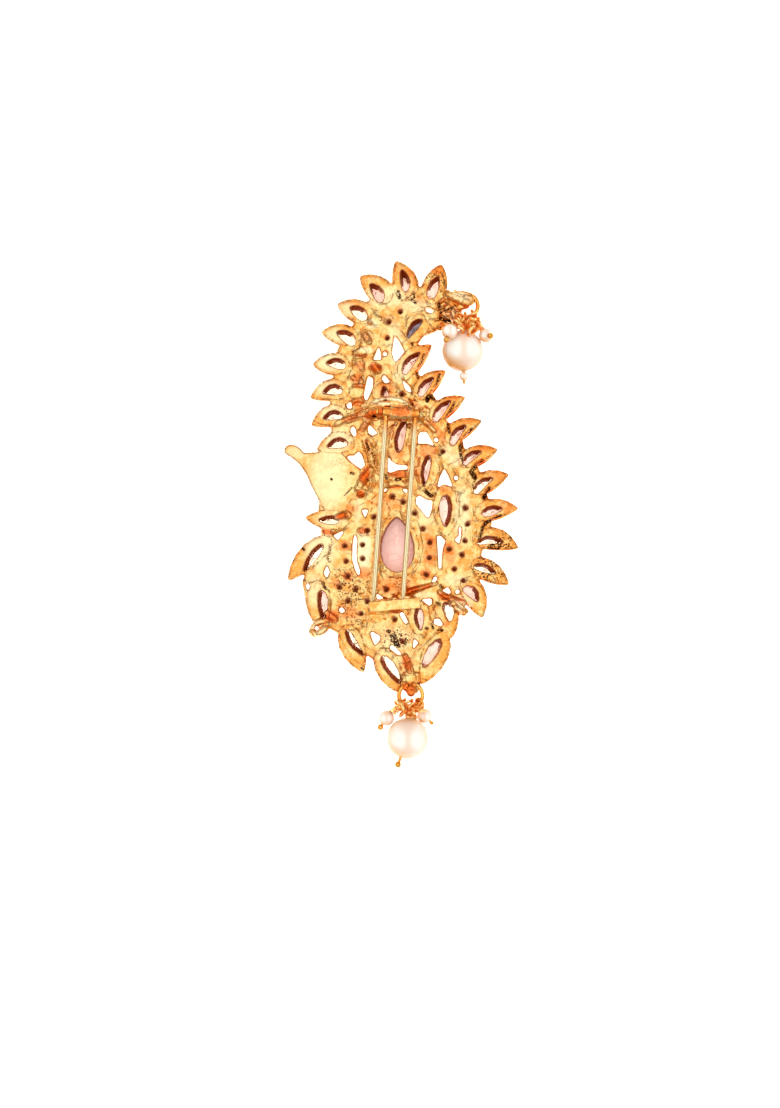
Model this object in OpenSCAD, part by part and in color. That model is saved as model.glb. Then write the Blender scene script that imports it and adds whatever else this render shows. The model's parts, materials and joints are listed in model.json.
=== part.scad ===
// Kalgi turban brooch, an openwork cast jewel that lies face down with its back up.
// Places in the tables are steps across (u) and down (v) on a layout sheet, and one
// step is the brooch's length over the steps that the length spans.

/* [Overall] */
// Length from the crown leaf to the end bead of the lower drop, mm
brooch_length = 97.7; // [80:0.1:120]
// Steps of the layout sheet along that length
length_steps = 506.5; // [480:0.5:530]
// Sheet column of the middle of the brooch
mid_u = 401.5; // [400:0.5:403]
// Sheet row of the middle of the brooch
mid_v = 514.75; // [514:0.25:516]

/* [Casting] */
// Height of the front face of the casting, mm
front_z = 0.7; // [0.6:0.05:0.9]
// Height of the ledge that each stone sits under, mm
ledge_z = 1.8; // [1.7:0.05:2]
// Height of the flat back of the plate, mm
plate_z = 3.5; // [3.2:0.05:3.7]
// Height of the raised back rims round the windows, mm
rim_z = 4.05; // [3.9:0.05:4.3]
// Height of the collet round the middle stone, mm
collet_z = 4.35; // [4.2:0.05:4.6]
// Height of the hook tip and of the foot eye, which the jump rings pass through, mm
eye_z = 4.7; // [4.6:0.05:5]
// Radius that fills the notches between the leaves, mm
notch_round = 0.3; // [0.1:0.01:0.4]
// Radius of the round holes behind the small stones, mm
hole_r = 0.44; // [0.3:0.01:0.5]

/* [Stones] */
// Height of the girdle of the leaf stones, mm
girdle_z = 1.3; // [1.2:0.05:1.4]
// Height of the point of the leaf stones, mm
culet_z = 2.95; // [2.6:0.05:3]
// Size of a table as a share of its girdle
table_share = 0.62; // [0.5:0.01:0.7]
// Reach of a leaf stone past its window, mm
stone_reach = 0.27; // [0.25:0.01:0.3]
// Gap between a stone and its setting, mm
stone_gap = 0.06; // [0.05:0.01:0.08]
// Girdle radius of the small round stones, mm
small_stone_r = 0.62; // [0.5:0.01:0.7]

/* [Double pin] */
// Radius of the pin wires, mm
pin_r = 0.5; // [0.4:0.01:0.55]
// Distance between the two wires, mm
pin_spread = 5.6; // [5:0.1:6]
// Height of the wires above the surface, mm
pin_z = 6; // [5.9:0.05:6.2]
// Length of the wires from the hinge axis, mm
pin_reach = 36.6; // [35:0.1:37]
// Length of the tapered points, mm
point_length = 3; // [1:0.1:5]
// Turn of the pins and of their hinge, degrees
pin_turn = -3.9; // [-6:0.1:0]
// Outer radius of the hinge knuckle, mm
knuckle_r = 0.95; // [0.9:0.05:1]
// Radius of the hinge rod, mm
rod_r = 0.45; // [0.35:0.01:0.5]
// Radial play of the knuckle on the rod, mm
rod_play = 0.05; // [0.01:0.01:0.1]

/* [Drops] */
// Radius of the two large pearls, mm
pearl_r = 4; // [3.9:0.05:4]
// Middle radius of the jump rings, mm
ring_r = 2.28; // [2.2:0.01:2.4]
// Radius of the jump ring wire, mm
ring_wire_r = 0.42; // [0.35:0.01:0.45]
// Height of the jump rings, mm
ring_z = 3.6; // [3.4:0.05:3.8]
// Play round a jump ring in the eye that it passes through, mm
ring_play = 0.12; // [0.1:0.01:0.15]
// Radius of the head pin wire, mm
head_wire_r = 0.28; // [0.25:0.01:0.3]
// Radius of a head pin's stretch between its loop and its pearl, mm
head_stem_r = 0.252; // [0.2:0.002:0.27]
// Middle radius of the loop at the top of a head pin, mm
head_loop_r = 0.95; // [0.9:0.01:1]

/* [Hidden] */
// One step of the layout sheet, mm
step = brooch_length / length_steps;
// Overlaps where one layer sits in the next, how deep lumps and bars are rooted in the plate, and
// how far cutters reach past a face, mm
lap = 0.05;
sink = 0.1;
root = 0.4;
overshoot = 0.5;
// Steps inward from the body to its front and to the rims on its back, mm
front_inset = 0.16;
rim_inset = 0.14;
// The flat bird: its thickness and the height of its back, mm
bird_thick = 1.7;
bird_z = plate_z + 0.35;
// Points of the outlines: of a setting, a stone and a middle stone, and of a small stone
flame_points = 14;
stone_points = 10;
middle_points = 20;
small_facets = 8;
// Heights of a small stone's table and point, mm
small_table_z = front_z - 0.25;
small_point_z = ledge_z + 0.35;
// Radius of a pin's tip over the wire's, and the hinge rod's play between its heads, mm
tip_share = 0.4;
rod_end_play = 0.05;
// Head pins: length and bead of the neck above a pearl, and play in the pearl's bore, mm
neck_length = 0.25;
neck_bead = 1.5;
bore_play = 0.06;
// Largest value of the teardrop's width formula, which makes its width exact
flame_peak = 0.862;

function at(u, v) = [(u - mid_u) * step, (mid_v - v) * step];
function lifted(p, z) = [p.x, p.y, z];
function left_of(d) = [-d.y, d.x];

// Leaf settings of the rim: name, tip, base, width, bow to the left of the way from tip
// to base, and lip, by which the front of the setting shows past its back.
LEAF_NAME = 0;
TIP_U = 1;
TIP_V = 2;
BASE_U = 3;
BASE_V = 4;
WIDE = 5;
BOW = 6;
LIP = 7;
leaves = [
    ["crown_1", 441.5, 264, 431, 305, 26, -1, 0],
    ["crown_2", 396, 260.5, 407, 302, 26.5, 3.5, 0],
    ["crown_3", 360, 276, 391, 301, 26, 1.5, 0],
    ["left_1", 337, 304, 373, 319, 24, 1.5, 0],
    ["left_2", 321, 332, 359, 340, 22, 2, 0],
    ["left_3", 312.5, 364.5, 350, 365, 23, 1, 0],
    ["left_4", 310, 397.5, 350, 391, 22.5, 4.5, 0],
    ["left_5", 311, 425, 350, 416, 22.5, 4.8, 0],
    ["left_6", 316.5, 449.5, 355, 443, 22, 3.5, 0],
    ["left_7", 305, 517.5, 349, 522, 20.5, 0, 0],
    ["left_8", 288, 580.5, 331, 537, 23.5, 2.5, 0],
    ["left_9", 323, 631.5, 316.5, 580, 26, 1, 0],
    ["foot_1", 363.5, 672.5, 345, 624, 25.5, 1.5, 0],
    ["foot_2", 398.5, 692.5, 380.5, 648, 26, 0.5, 0],
    ["foot_3", 421, 684.5, 444.5, 631, 27, -1, 0],
    ["foot_4", 452, 638, 441, 598, 23, -1.5, 0],
    ["right_1", 482.5, 618, 464, 577, 25, -2, 1],
    ["right_2", 509, 584.5, 471, 562, 23, -1, 1],
    ["right_3", 518.5, 548, 474, 540, 24, -4.5, 1],
    ["right_4", 518.5, 508.5, 474, 516, 23, -3, 2],
    ["right_5", 509, 474.5, 471, 492, 23, -2.5, 2],
    ["right_6", 498, 449.5, 459, 465, 22, -2, 2.5],
    ["right_7", 482, 420.5, 445, 441.5, 21.5, -3, 2],
    ["right_8", 465.5, 397, 430, 421.5, 21, -3, 2.5],
    ["right_9", 446, 370.5, 415, 400.5, 21.5, -3, 2.5],
    ["right_10", 432, 344.5, 401, 380, 23, -4, 2],
];

// Settings inside the body, with the same columns.
inner_settings = [
    ["hook_leaf", 409, 345, 424, 311, 23, 0, 0],
    ["bell", 385, 375, 384, 405, 26, 0, 0],
    ["flame", 408, 409, 399, 467, 27, -1, 0],
    ["comma", 426, 496, 425, 439, 27, -1, 0],
    ["ribbon", 446, 538, 447, 483, 27, 0, 0],
    ["lower_leaf", 421, 639, 417, 600, 23, 0, 0],
];
settings = concat(leaves, inner_settings);

// Windows in the backs of the settings, in the same order: the same columns as above,
// without a name or a lip.
windows = [
    [438.5, 276.5, 430, 299, 11, -1],
    [401.5, 269.5, 405.5, 292, 9, 1.5],
    [370, 284, 382, 302, 11.5, 1.5],
    [350, 307, 366.5, 319.5, 12, 1],
    [336.5, 332, 355, 344.5, 11.5, 2],
    [326, 363, 346, 366.5, 10.5, 1.5],
    [323, 392.5, 343, 391, 10.5, 2.5],
    [323, 419, 343, 416, 9.5, 2.5],
    [327, 447, 348, 443, 10.5, 2],
    [318.5, 520, 340, 520, 8.5, 0],
    [303.5, 572, 323, 544, 8.5, 1],
    [322.5, 619.5, 321.5, 590, 10, -1],
    [364.5, 656, 346, 629, 7.5, 2],
    [400, 684, 381.5, 656, 11, -1],
    [422.5, 668, 440.5, 639, 11.5, 0.5],
    [450.5, 622, 444.5, 602, 10.5, -1.5],
    [478, 602, 463.5, 588, 10.5, -3],
    [495.5, 573.5, 473.5, 566, 8, -1.5],
    [502.5, 542.5, 477, 543, 8, -3],
    [502.5, 508.5, 481.5, 514.5, 9.5, -1],
    [493, 478, 474.5, 494, 9, -3],
    [482, 451.5, 463.5, 465, 8.5, -3],
    [466.5, 425, 451.5, 445.5, 9, -3],
    [451, 400.5, 434, 422, 9.5, -2.5],
    [434, 377.5, 419.5, 397, 9, -2.5],
    [420.5, 352.5, 403.5, 375, 9.5, -3],
    [407, 338.5, 422, 319.5, 8.5, 2],
    [384, 386.5, 385.5, 400, 8, 0],
    [405.5, 418.5, 398, 453, 10, -1.5],
    [423.5, 487, 429, 455, 8.5, 1],
    [446, 527.5, 446, 494.5, 12.5, 0.5],
    [420.5, 630.5, 418.5, 608, 9.5, 0.5],
];

// The middle stone's window and the medallion round it.
middle_window = [396.7, 517.5, 397.6, 572, 33, 0];
middle_collet = [396.5, 511, 397.8, 577.5, 44, 0];
medallion = [396.5, 474, 397.8, 600, 80, 0];

// Gaps pierced between the bands, each as corners on the photograph.
gaps = [
    [[394.5, 334.5], [399.5, 341], [404.5, 351.5], [400, 357], [395, 362.5], [392, 353]],
    [[378.8, 345], [380.6, 352], [381.3, 359.6], [373, 359.6], [376, 352]],
    [[368, 375.5], [373, 378], [372.5, 388], [366, 402.5], [363.8, 395], [366, 384]],
    [[384.5, 374], [390.5, 382], [385, 383.5], [381.5, 378]],
    [[401.5, 378.5], [409.5, 385.5], [412, 393], [405.5, 390]],
    [[425, 306.5], [431, 307.5], [435, 311], [431, 313.5], [426, 311]],
    [[403.5, 403.5], [407, 405], [412, 411], [406, 411.5], [402.3, 409]],
    [[369.5, 424.5], [378, 433], [372.5, 435.5], [368.5, 433], [368, 427]],
    [[353, 425.5], [355.5, 429], [356.5, 435], [354, 437], [350.5, 431.5], [350.5, 428]],
    [[346, 404.5], [351, 400.5], [352, 408.5], [348, 408.5]],
    [[358.5, 451], [361.5, 454.5], [365, 465], [361, 469], [352, 462.5], [347, 457.5], [348.5, 455.5], [354, 455.5]],
    [[420, 432], [426.5, 431.5], [432.5, 441.5], [434.5, 446], [427, 443.5], [418, 443.5], [418.5, 435]],
    [[444.5, 468], [449, 477], [453, 487], [444, 484], [437, 488], [440, 477]],
    [[388, 455.5], [391, 460.5], [397, 464.5], [408, 465.5], [407, 469.5], [399, 469.8], [391.5, 472.5], [388, 472]],
    [[416.5, 497], [420, 495.5], [426, 499.5], [432.5, 500.5], [432, 508], [429, 517.5], [426.5, 517], [421, 509.5],
        [416, 503.5]],
    [[361.5, 509.5], [368.5, 509.5], [365, 518]],
    [[383.8, 493.3], [388.6, 488.2], [384.2, 488.4]],
    [[401, 488.5], [407.5, 488.8], [407, 494]],
    [[399, 613.5], [403, 612], [408, 622], [406, 625], [403, 621]],
    [[434, 619], [439.5, 619], [443, 624.5], [441, 626.5], [434, 624.5]],
    [[421, 599.5], [431.5, 598.5], [432, 604], [429.5, 606]],
    [[440.5, 592], [448, 587], [451.5, 593], [446, 594.5]],
    [[376, 593], [385, 599], [377, 599.5]],
    [[338.5, 610], [341.5, 606.8], [345.5, 611.5], [341, 613.5]],
    [[327, 565], [329.5, 572], [326.5, 579], [323.5, 573]],
    [[371.5, 631.5], [380, 636], [380, 640], [375, 646], [372.5, 640.5], [370.5, 634]],
    [[391.5, 644.5], [397, 649], [403, 656], [397.5, 655], [389.5, 648.5]],
    [[413.8, 638], [418.5, 643], [415, 647.5], [412.8, 650]],
    [[354.5, 532.5], [357.3, 540], [356.3, 552], [357, 562], [360, 571], [359, 577], [355.5, 571], [352.2, 560],
        [352.6, 545]],
    [[437, 536], [441, 536], [445.5, 541], [443, 548], [442, 556], [441.5, 568], [438.8, 569.5], [438.3, 556],
        [437.6, 545]],
    [[333, 535.5], [345, 529.8], [338, 540.5]],
    [[459, 524], [461.5, 528], [461, 537], [459.5, 544], [454.5, 540], [459, 535.5]],
    [[434.5, 576.5], [438, 577.5], [436, 581.5], [430.5, 585]],
    [[307, 582], [310, 586], [308, 591], [305.5, 587]],
];

// Round holes behind the small stones of the medallion, the stem and the lower bands.
halo_holes = [
    [392.4, 496.2], [403.1, 501.7], [414.8, 512.9], [374, 516.6], [423.1, 528.5], [429.9, 542.4],
    [429.4, 557.6], [426.3, 574.3], [386.4, 589.4], [362.5, 544.5], [362.5, 558.3], [367.3, 530.4],
];
stem_holes = [
    [400.4, 311.4], [388.8, 321.3], [387.2, 337.6], [401.9, 393.9], [420.7, 415.4], [443, 451],
];
band_holes = [
    [344.4, 545.6], [346.2, 561.1], [347.8, 575.9], [339.2, 587], [355.3, 589.4], [347.6, 600.6],
    [367.3, 601.4], [361, 613.4], [394.5, 619.3], [402.3, 641.3], [465.8, 507.8], [467.7, 523.8],
    [464.8, 540.5], [462, 554.4], [449.4, 548.8], [454.6, 568.7], [463.3, 580.4],
];
// Round holes with no stone.
plain_holes = [[384.9, 353.5], [436.3, 439.6], [456.2, 477.8], [457.6, 591.8]];

// Notches between the leaf settings, which the plate's outline runs through.
plate_outline = [
    [392, 285.5], [367.5, 300.5], [352.5, 325], [337, 349.5], [333, 378], [329.5, 404],
    [331, 431], [322, 453], [318, 512], [321, 533], [302, 582], [305, 600], [320, 625],
    [334, 631], [372, 659], [396, 686], [402, 689.5], [418, 689], [421.5, 678], [433, 671],
    [445, 631], [459, 616], [480, 583], [482, 553], [492, 523.5], [488, 496.5], [479, 468.5],
    [464, 446.5], [463, 438], [448, 421], [435, 397], [419, 374], [416, 346], [424, 335.5],
    [434, 332], [442, 327], [452, 326], [453, 309], [460, 303], [460, 294], [454, 291.5],
    [447, 292], [420, 286.5],
];

// Flat bird that is soldered to the left edge.
bird_outline = [
    [322, 451.5], [304, 452.8], [300.5, 448.5], [296, 445.5], [291, 444.2], [286.5, 445.6],
    [284, 449], [284.4, 453], [288, 455.5], [293.5, 459], [298.5, 463.5], [303, 469.5],
    [307, 476], [310.5, 484.5], [315, 493.5], [320, 503], [325.5, 510], [332, 514],
    [338, 514.5], [345, 510], [351, 499], [357, 487], [360, 471], [349, 461], [340, 452],
];

// Domed cups along the inner band and other round lumps: place, radius and height of top.
// Each is cut straight at this share of its radius.
CUP_R = 2;
CUP_TOP = 3;
cup_trim = 0.97;
cups = [
    [376.5, 320, 1.4, 4.5], [366.5, 338, 1.35, 4.4], [361, 351.5, 1.35, 4.5], [359.5, 365.5, 1.35, 4.5],
    [357, 379, 1.3, 4.4], [356.5, 392.5, 1.35, 4.5], [358, 406.5, 1.0, 4.4], [363.5, 483, 1.5, 4.8],
    [360.5, 494, 1.1, 4.5], [363, 530, 1.0, 4.3], [343, 516.5, 1.2, 4.6], [328, 531.5, 1.0, 4.3],
    [433, 325, 1.3, 4.4], [408, 671, 1.5, 4.6], [446.5, 624, 0.55, 4.2], [447, 309, 1.9, 4.9],
];

// Raised straps and bars on the back: both ends, width and height of top, mm.
bars = [
    [336, 424.5, 352, 417, 1.3, 4.1],
    [351, 417, 374, 411, 1.6, 4.4],
    [360, 434.5, 371, 418, 1.2, 4.15],
    [389, 474, 408, 474, 1.3, 4.5],
    [389, 483.5, 408, 483.5, 1.1, 4.25],
];

// Flower between the bell and the cups: its place, and its petals' ring, radius and height, mm.
rosette = [376.3, 369.3];
petals = 5;
petal_ring_r = 0.65;
petal_r = 0.52;
petal_height = 0.85;

// Half rings for a thread, seen edge on: place, turn, lean, middle radius and wire radius.
loops = [
    ["top", 386, 404.5, 5, 0, 2.45, 0.75],
    ["lower_left", 320, 627.5, 32, 28, 1.7, 0.72],
    ["lower_right", 458.5, 608, -38, 12, 1.45, 0.62],
];

// Blocks that the jump rings pass through: place, turn, size across and size down, mm.
eyes = [
    [457.6, 298.2, -20, 2.4, 2.5],
    [410.5, 681, 0, 3, 3.2],
];

// Hinge: its middle, the knuckle between the ears, the ears and the foot under them, mm.
hinge_at = at(400.8, 414);
knuckle_length = pin_spread + 2 * pin_r + 0.2;
ear_thick = 0.8;
ear_r = 0.9;
ear_gap = 0.12;
rod_head = 0.3;
rod_fit = 0.01;
rod_head_r = rod_r + 0.25;
foot_side = 1;
foot_front = 1.3;
foot_depth = 2;
foot_z = plate_z + 0.45;

// Catch bar over the points, mm: its back wall stands at the lower edge.
catch_at = at(394.5, 604.4);
catch_turn = 4.5;
catch_length = 51 * step;
catch_width = 10.5 * step;
catch_wall = 0.45;
catch_play = 0.15;
catch_top = pin_z + pin_r + catch_play + catch_wall;

// Middles of the two jump rings.
upper_ring_at = at(466, 306);
lower_ring_at = at(410.7, 695.3);

// Small pearls and head pins: name, jump ring, angle on the ring, pearl place, pearl
// height and radius, place of the end bead's middle, its height and its radius.
head_pins = [
    ["upper_pearl", upper_ring_at, -99, [462.6, 351.2], 4, pearl_r, [464, 382.8], 4, 0.3],
    ["upper_small_pearl_left", upper_ring_at, -135, [449, 335], 7.75, 1.5, [445.2, 343.6], 8.82, 0.56],
    ["upper_small_pearl_right", upper_ring_at, -50, [485.6, 336.8], 5.45, 1.4, [489, 338.6], 7.34, 0.6],
    ["lower_pearl", lower_ring_at, -78, [407.6, 738], 4, pearl_r, [398, 764.2], 4, 0.62],
    ["lower_small_pearl_left", lower_ring_at, -142, [386.6, 718.6], 2.6, 1.5, [380.4, 727.8], 2.4, 0.6],
    ["lower_small_pearl_right", lower_ring_at, -40, [424.6, 716.6], 1.9, 1.45, [432, 724], 1.8, 0.4],
];
PEARL_NAME = 0;
RING_AT = 1;
RING_ANGLE = 2;
PEARL_AT = 3;
PEARL_Z = 4;
PEARL_R = 5;
BEAD_AT = 6;
BEAD_Z = 7;
BEAD_R = 8;
end_pearl_r = 0.86;
end_pearl_back = 1.2;

stone_names = [for (s = settings) str("stone_", s[LEAF_NAME])];
pearl_names = [for (h = head_pins) h[PEARL_NAME]];

// Columns of a setting without its name and lip, for the functions that draw it.
function plan(s) = [s[TIP_U], s[TIP_V], s[BASE_U], s[BASE_V], s[WIDE], s[BOW]];
// The back of a setting is narrower than its front by the lip, on its lower side.
function back_plan(s) = plan(s) + [0, 0, 0, 0, -s[LIP], -s[LIP] / 2];

// Teardrop outline, pointed at its tip, round at its base and widest at three fifths.
function teardrop(f, grow = 0, points = flame_points) =
    let (tip = at(f[0], f[1]))
    let (base = at(f[2], f[3]))
    let (dir = (base - tip) / norm(base - tip))
    let (start = tip - dir * grow * 1.6)
    let (along = base + dir * grow - start)
    let (half = f[4] * step / 2 + grow)
    let (bow = f[5] * step)
    [for (i = [0 : points - 1])
        let (turn = 360 * i / points)
        let (s = (1 - cos(turn)) / 2)
        let (out = half * sin(turn) * pow(s, 0.25) / flame_peak)
        start + along * s + left_of(dir) * (out + 4 * bow * s * (1 - s))];

function middle(points) = [for (k = [0, 1]) [for (p = points) p[k]] * [for (p = points) 1] / len(points)];
function shrunk(points, share) = let (c = middle(points)) [for (p = points) c + (p - c) * share];

module drops_of(rows, grow, points = flame_points) {
    for (f = rows) polygon(teardrop(f, grow, points));
}

module prisms_of(rows, grow, points, low, high) {
    for (f = rows) translate([0, 0, low]) linear_extrude(high - low) polygon(teardrop(f, grow, points));
}

module bores_at(places, r, low, high) {
    for (p = places) translate(lifted(at(p[0], p[1]), low)) cylinder(h = high - low, r = r, $fn = 24);
}

// Joins its outlines into one and fills the sharp notches between them.
module joined() {
    offset(r = -notch_round, $fn = 8) offset(delta = notch_round) children();
}

module body_layer() {
    translate([0, 0, ledge_z - lap]) linear_extrude(plate_z - ledge_z + lap) joined() {
        polygon([for (p = plate_outline) at(p[0], p[1])]);
        drops_of([for (s = settings) back_plan(s)], 0);
        drops_of([medallion], 0);
    }
}

module front_layer() {
    translate([0, 0, front_z]) linear_extrude(ledge_z + lap - front_z) joined() {
        offset(delta = -front_inset) polygon([for (p = plate_outline) at(p[0], p[1])]);
        drops_of([for (s = settings) plan(s)], -front_inset / 2);
        drops_of([medallion], -front_inset);
    }
}

module rim_layer() {
    translate([0, 0, plate_z - sink]) linear_extrude(rim_z - plate_z + sink)
        joined() drops_of([for (s = settings) back_plan(s)], -rim_inset);
}

module collet() {
    translate([0, 0, plate_z - sink]) linear_extrude(collet_z - plate_z + sink)
        polygon(teardrop(middle_collet, 0, middle_points));
}

// Everything that is cut through: windows with a wider pocket in front for the stone,
// gaps between the bands, and round holes with a pocket in front for a small stone.
module windows_and_pockets() {
    prisms_of(windows, 0, stone_points, ledge_z - sink, rim_z + overshoot);
    prisms_of(windows, stone_reach + stone_gap, stone_points, front_z - overshoot, ledge_z);
    prisms_of([middle_window], 0, middle_points, ledge_z - sink, collet_z + overshoot);
    prisms_of([middle_window], stone_reach + stone_gap, middle_points, front_z - overshoot, ledge_z);
}

module gaps_and_holes() {
    for (g = gaps) translate([0, 0, front_z - overshoot]) linear_extrude(rim_z - front_z + 2 * overshoot)
        polygon([for (p = g) at(p[0], p[1])]);
    for (places = [halo_holes, stem_holes, band_holes]) {
        bores_at(places, hole_r, ledge_z - sink, rim_z + overshoot);
        bores_at(places, small_stone_r + stone_gap, front_z - overshoot, ledge_z + lap / 2);
    }
    bores_at(plain_holes, hole_r, front_z - overshoot, rim_z + overshoot);
}

module bird() {
    translate([0, 0, bird_z - bird_thick]) linear_extrude(bird_thick)
        polygon([for (p = bird_outline) at(p[0], p[1])]);
}

module domed_cups() {
    for (c = cups) translate(lifted(at(c[0], c[1]), 0)) intersection() {
        translate([0, 0, c[CUP_TOP] - c[CUP_R]]) sphere(c[CUP_R], $fn = 24);
        translate([0, 0, plate_z - root]) cylinder(h = c[CUP_TOP], r = c[CUP_R] * cup_trim, $fn = 24);
    }
}

module raised_bars() {
    for (b = bars) {
        from = at(b[0], b[1]);
        along = at(b[2], b[3]) - from;
        translate(lifted(from, plate_z - root)) rotate([0, 0, atan2(along.y, along.x)])
            translate([0, -b[4] / 2, 0]) cube([norm(along), b[4], b[5] - plate_z + root]);
    }
}

module rosette_lump() {
    for (i = [0 : petals - 1]) translate(lifted(at(rosette[0], rosette[1]), plate_z - root))
        rotate([0, 0, 360 * i / petals]) translate([petal_ring_r, 0, 0])
            cylinder(h = petal_height, r = petal_r, $fn = 24);
}

module eye_blocks() {
    for (e = eyes) translate(lifted(at(e[0], e[1]), ledge_z)) rotate([0, 0, e[2]])
        translate([-e[3] / 2, -e[4] / 2, 0]) cube([e[3], e[4], eye_z - ledge_z]);
}

module thread_loops() {
    for (l = loops) translate(lifted(at(l[1], l[2]), plate_z - root)) rotate([0, 0, l[3]])
        rotate([90 + l[4], 0, 0])
        rotate_extrude(angle = 180, $fn = 48) translate([l[5], 0]) circle(l[6], $fn = 24);
}

module ears() {
    for (side = [-1, 1]) translate(lifted(hinge_at, 0)) rotate([0, 0, pin_turn]) {
        x = side * (knuckle_length / 2 + ear_gap + ear_thick / 2) - ear_thick / 2;
        translate([x, -ear_r, plate_z - sink]) cube([ear_thick, 2 * ear_r, pin_z - plate_z + sink]);
        translate([x, 0, pin_z]) rotate([0, 90, 0]) cylinder(h = ear_thick, r = ear_r, $fn = 48);
    }
}

module hinge_feet() {
    foot_length = knuckle_length + 2 * foot_side;
    translate(lifted(hinge_at, ledge_z)) rotate([0, 0, pin_turn])
        translate([-foot_length / 2, -foot_front, 0]) cube([foot_length, foot_depth, foot_z - ledge_z]);
}

module rod_bore() {
    translate(lifted(hinge_at, pin_z)) rotate([0, 0, pin_turn]) rotate([0, 90, 0])
        cylinder(h = knuckle_length * 2, r = rod_r + rod_fit, center = true, $fn = 48);
}

module catch() {
    corner = [-catch_length / 2, -catch_width / 2, 0];
    translate(lifted(catch_at, 0)) rotate([0, 0, catch_turn]) translate(corner) {
        translate([0, 0, plate_z - root]) cube([catch_length, catch_wall, catch_top - plate_z + root]);
        translate([0, 0, catch_top - catch_wall]) cube([catch_length, catch_width, catch_wall]);
    }
}

module ring_tunnels() {
    for (c = [upper_ring_at, lower_ring_at]) translate(lifted(c, ring_z))
        rotate_extrude($fn = 64) translate([ring_r, 0]) circle(ring_wire_r + ring_play, $fn = 24);
}

module casting() {
    color("#d9a441") difference() {
        union() {
            body_layer();
            front_layer();
            rim_layer();
            collet();
            bird();
            domed_cups();
            raised_bars();
            rosette_lump();
            eye_blocks();
            thread_loops();
            hinge_feet();
            ears();
            catch();
        }
        windows_and_pockets();
        gaps_and_holes();
        rod_bore();
        ring_tunnels();
    }
}

// Cut stone: a flat table down on the surface, a crown, a girdle and a pointed back.
module cut_stone(outline, table_z, waist_z, point_z) {
    n = len(outline);
    table = [for (p = shrunk(outline, table_share)) lifted(p, table_z)];
    waist = [for (p = outline) lifted(p, waist_z)];
    points = concat(table, waist, [lifted(middle(outline), point_z)]);
    polyhedron(points, concat(
        [[for (i = [0 : n - 1]) i]],
        [for (i = [0 : n - 1]) [i, n + i, n + (i + 1) % n]],
        [for (i = [0 : n - 1]) [i, n + (i + 1) % n, (i + 1) % n]],
        [for (i = [0 : n - 1]) [n + i, 2 * n, n + (i + 1) % n]]
    ));
}

module leaf_stone(i) {
    color("#f4d4cf") cut_stone(teardrop(windows[i], stone_reach, stone_points), 0, girdle_z, culet_z);
}

module stone_middle() {
    color("#e9bdb8") cut_stone(teardrop(middle_window, stone_reach, middle_points), 0, girdle_z, culet_z);
}

module small_stones(places) {
    turns = [for (i = [0 : small_facets - 1]) 360 * i / small_facets];
    ring = [for (a = turns) [cos(a), sin(a)] * small_stone_r];
    for (p = places) translate(lifted(at(p[0], p[1]), 0))
        color("#f4d4cf") cut_stone(ring, small_table_z, girdle_z, small_point_z);
}

module hinge_rod() {
    long = knuckle_length + 2 * (ear_gap + ear_thick);
    color("#c8963c") translate(lifted(hinge_at, pin_z)) rotate([0, 0, pin_turn]) rotate([0, 90, 0]) {
        cylinder(h = long + 2 * rod_end_play, r = rod_r, center = true, $fn = 48);
        for (side = [-1, 1]) translate([0, 0, side * (long / 2 + rod_end_play + rod_head / 2)])
            cylinder(h = rod_head, r = rod_head_r, center = true, $fn = 48);
    }
}

module double_pin() {
    straight = pin_reach - point_length;
    color("#e8d9a0") translate(lifted(hinge_at, pin_z)) rotate([0, 0, pin_turn]) difference() {
        union() {
            rotate([0, 90, 0]) cylinder(h = knuckle_length, r = knuckle_r, center = true, $fn = 48);
            for (side = [-1, 1]) translate([side * pin_spread / 2, 0, 0]) rotate([90, 0, 0]) {
                cylinder(h = straight, r = pin_r, $fn = 32);
                translate([0, 0, straight])
                    cylinder(h = point_length, r1 = pin_r, r2 = pin_r * tip_share, $fn = 32);
            }
        }
        rotate([0, 90, 0]) cylinder(h = knuckle_length + 2, r = rod_r + rod_play, center = true, $fn = 48);
    }
}

module jump_ring(c) {
    color("#e8b04a") translate(lifted(c, ring_z)) rotate_extrude($fn = 64)
        translate([ring_r, 0]) circle(ring_wire_r, $fn = 24);
}

function loop_middle(h) = lifted(h[RING_AT] + ring_r * [cos(h[RING_ANGLE]), sin(h[RING_ANGLE])], ring_z);
function pearl_middle(h) = lifted(at(h[PEARL_AT][0], h[PEARL_AT][1]), h[PEARL_Z]);
function bead_middle(h) = lifted(at(h[BEAD_AT][0], h[BEAD_AT][1]), h[BEAD_Z]);

module turned_to(d) {
    rotate([0, acos(d.z / norm(d)), atan2(d.y, d.x)]) children();
}

module rod_between(a, b, r) {
    translate(a) turned_to(b - a) cylinder(h = norm(b - a), r = r, $fn = 32);
}

// A head pin: its loop round the jump ring, a stretch to the pearl, one through the pearl
// and an end bead. The loop's plane holds the stretch and crosses the ring.
module head_pin(h) {
    hub = loop_middle(h);
    pearl = pearl_middle(h);
    out = (bead_middle(h) - pearl) / norm(bead_middle(h) - pearl);
    neck = pearl - out * (h[PEARL_R] + neck_length);
    way = (neck - hub) / norm(neck - hub);
    tangent = [-sin(h[RING_ANGLE]), cos(h[RING_ANGLE]), 0];
    color("#d9a441") {
        translate(hub) turned_to(tangent - way * (tangent * way)) rotate_extrude($fn = 64)
            translate([head_loop_r, 0]) circle(head_wire_r, $fn = 32);
        rod_between(hub + way * head_loop_r, neck, head_stem_r);
        translate(neck) sphere(head_wire_r * neck_bead, $fn = 32);
        rod_between(neck, bead_middle(h), head_wire_r);
        translate(bead_middle(h)) sphere(h[BEAD_R], $fn = 32);
    }
}

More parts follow.
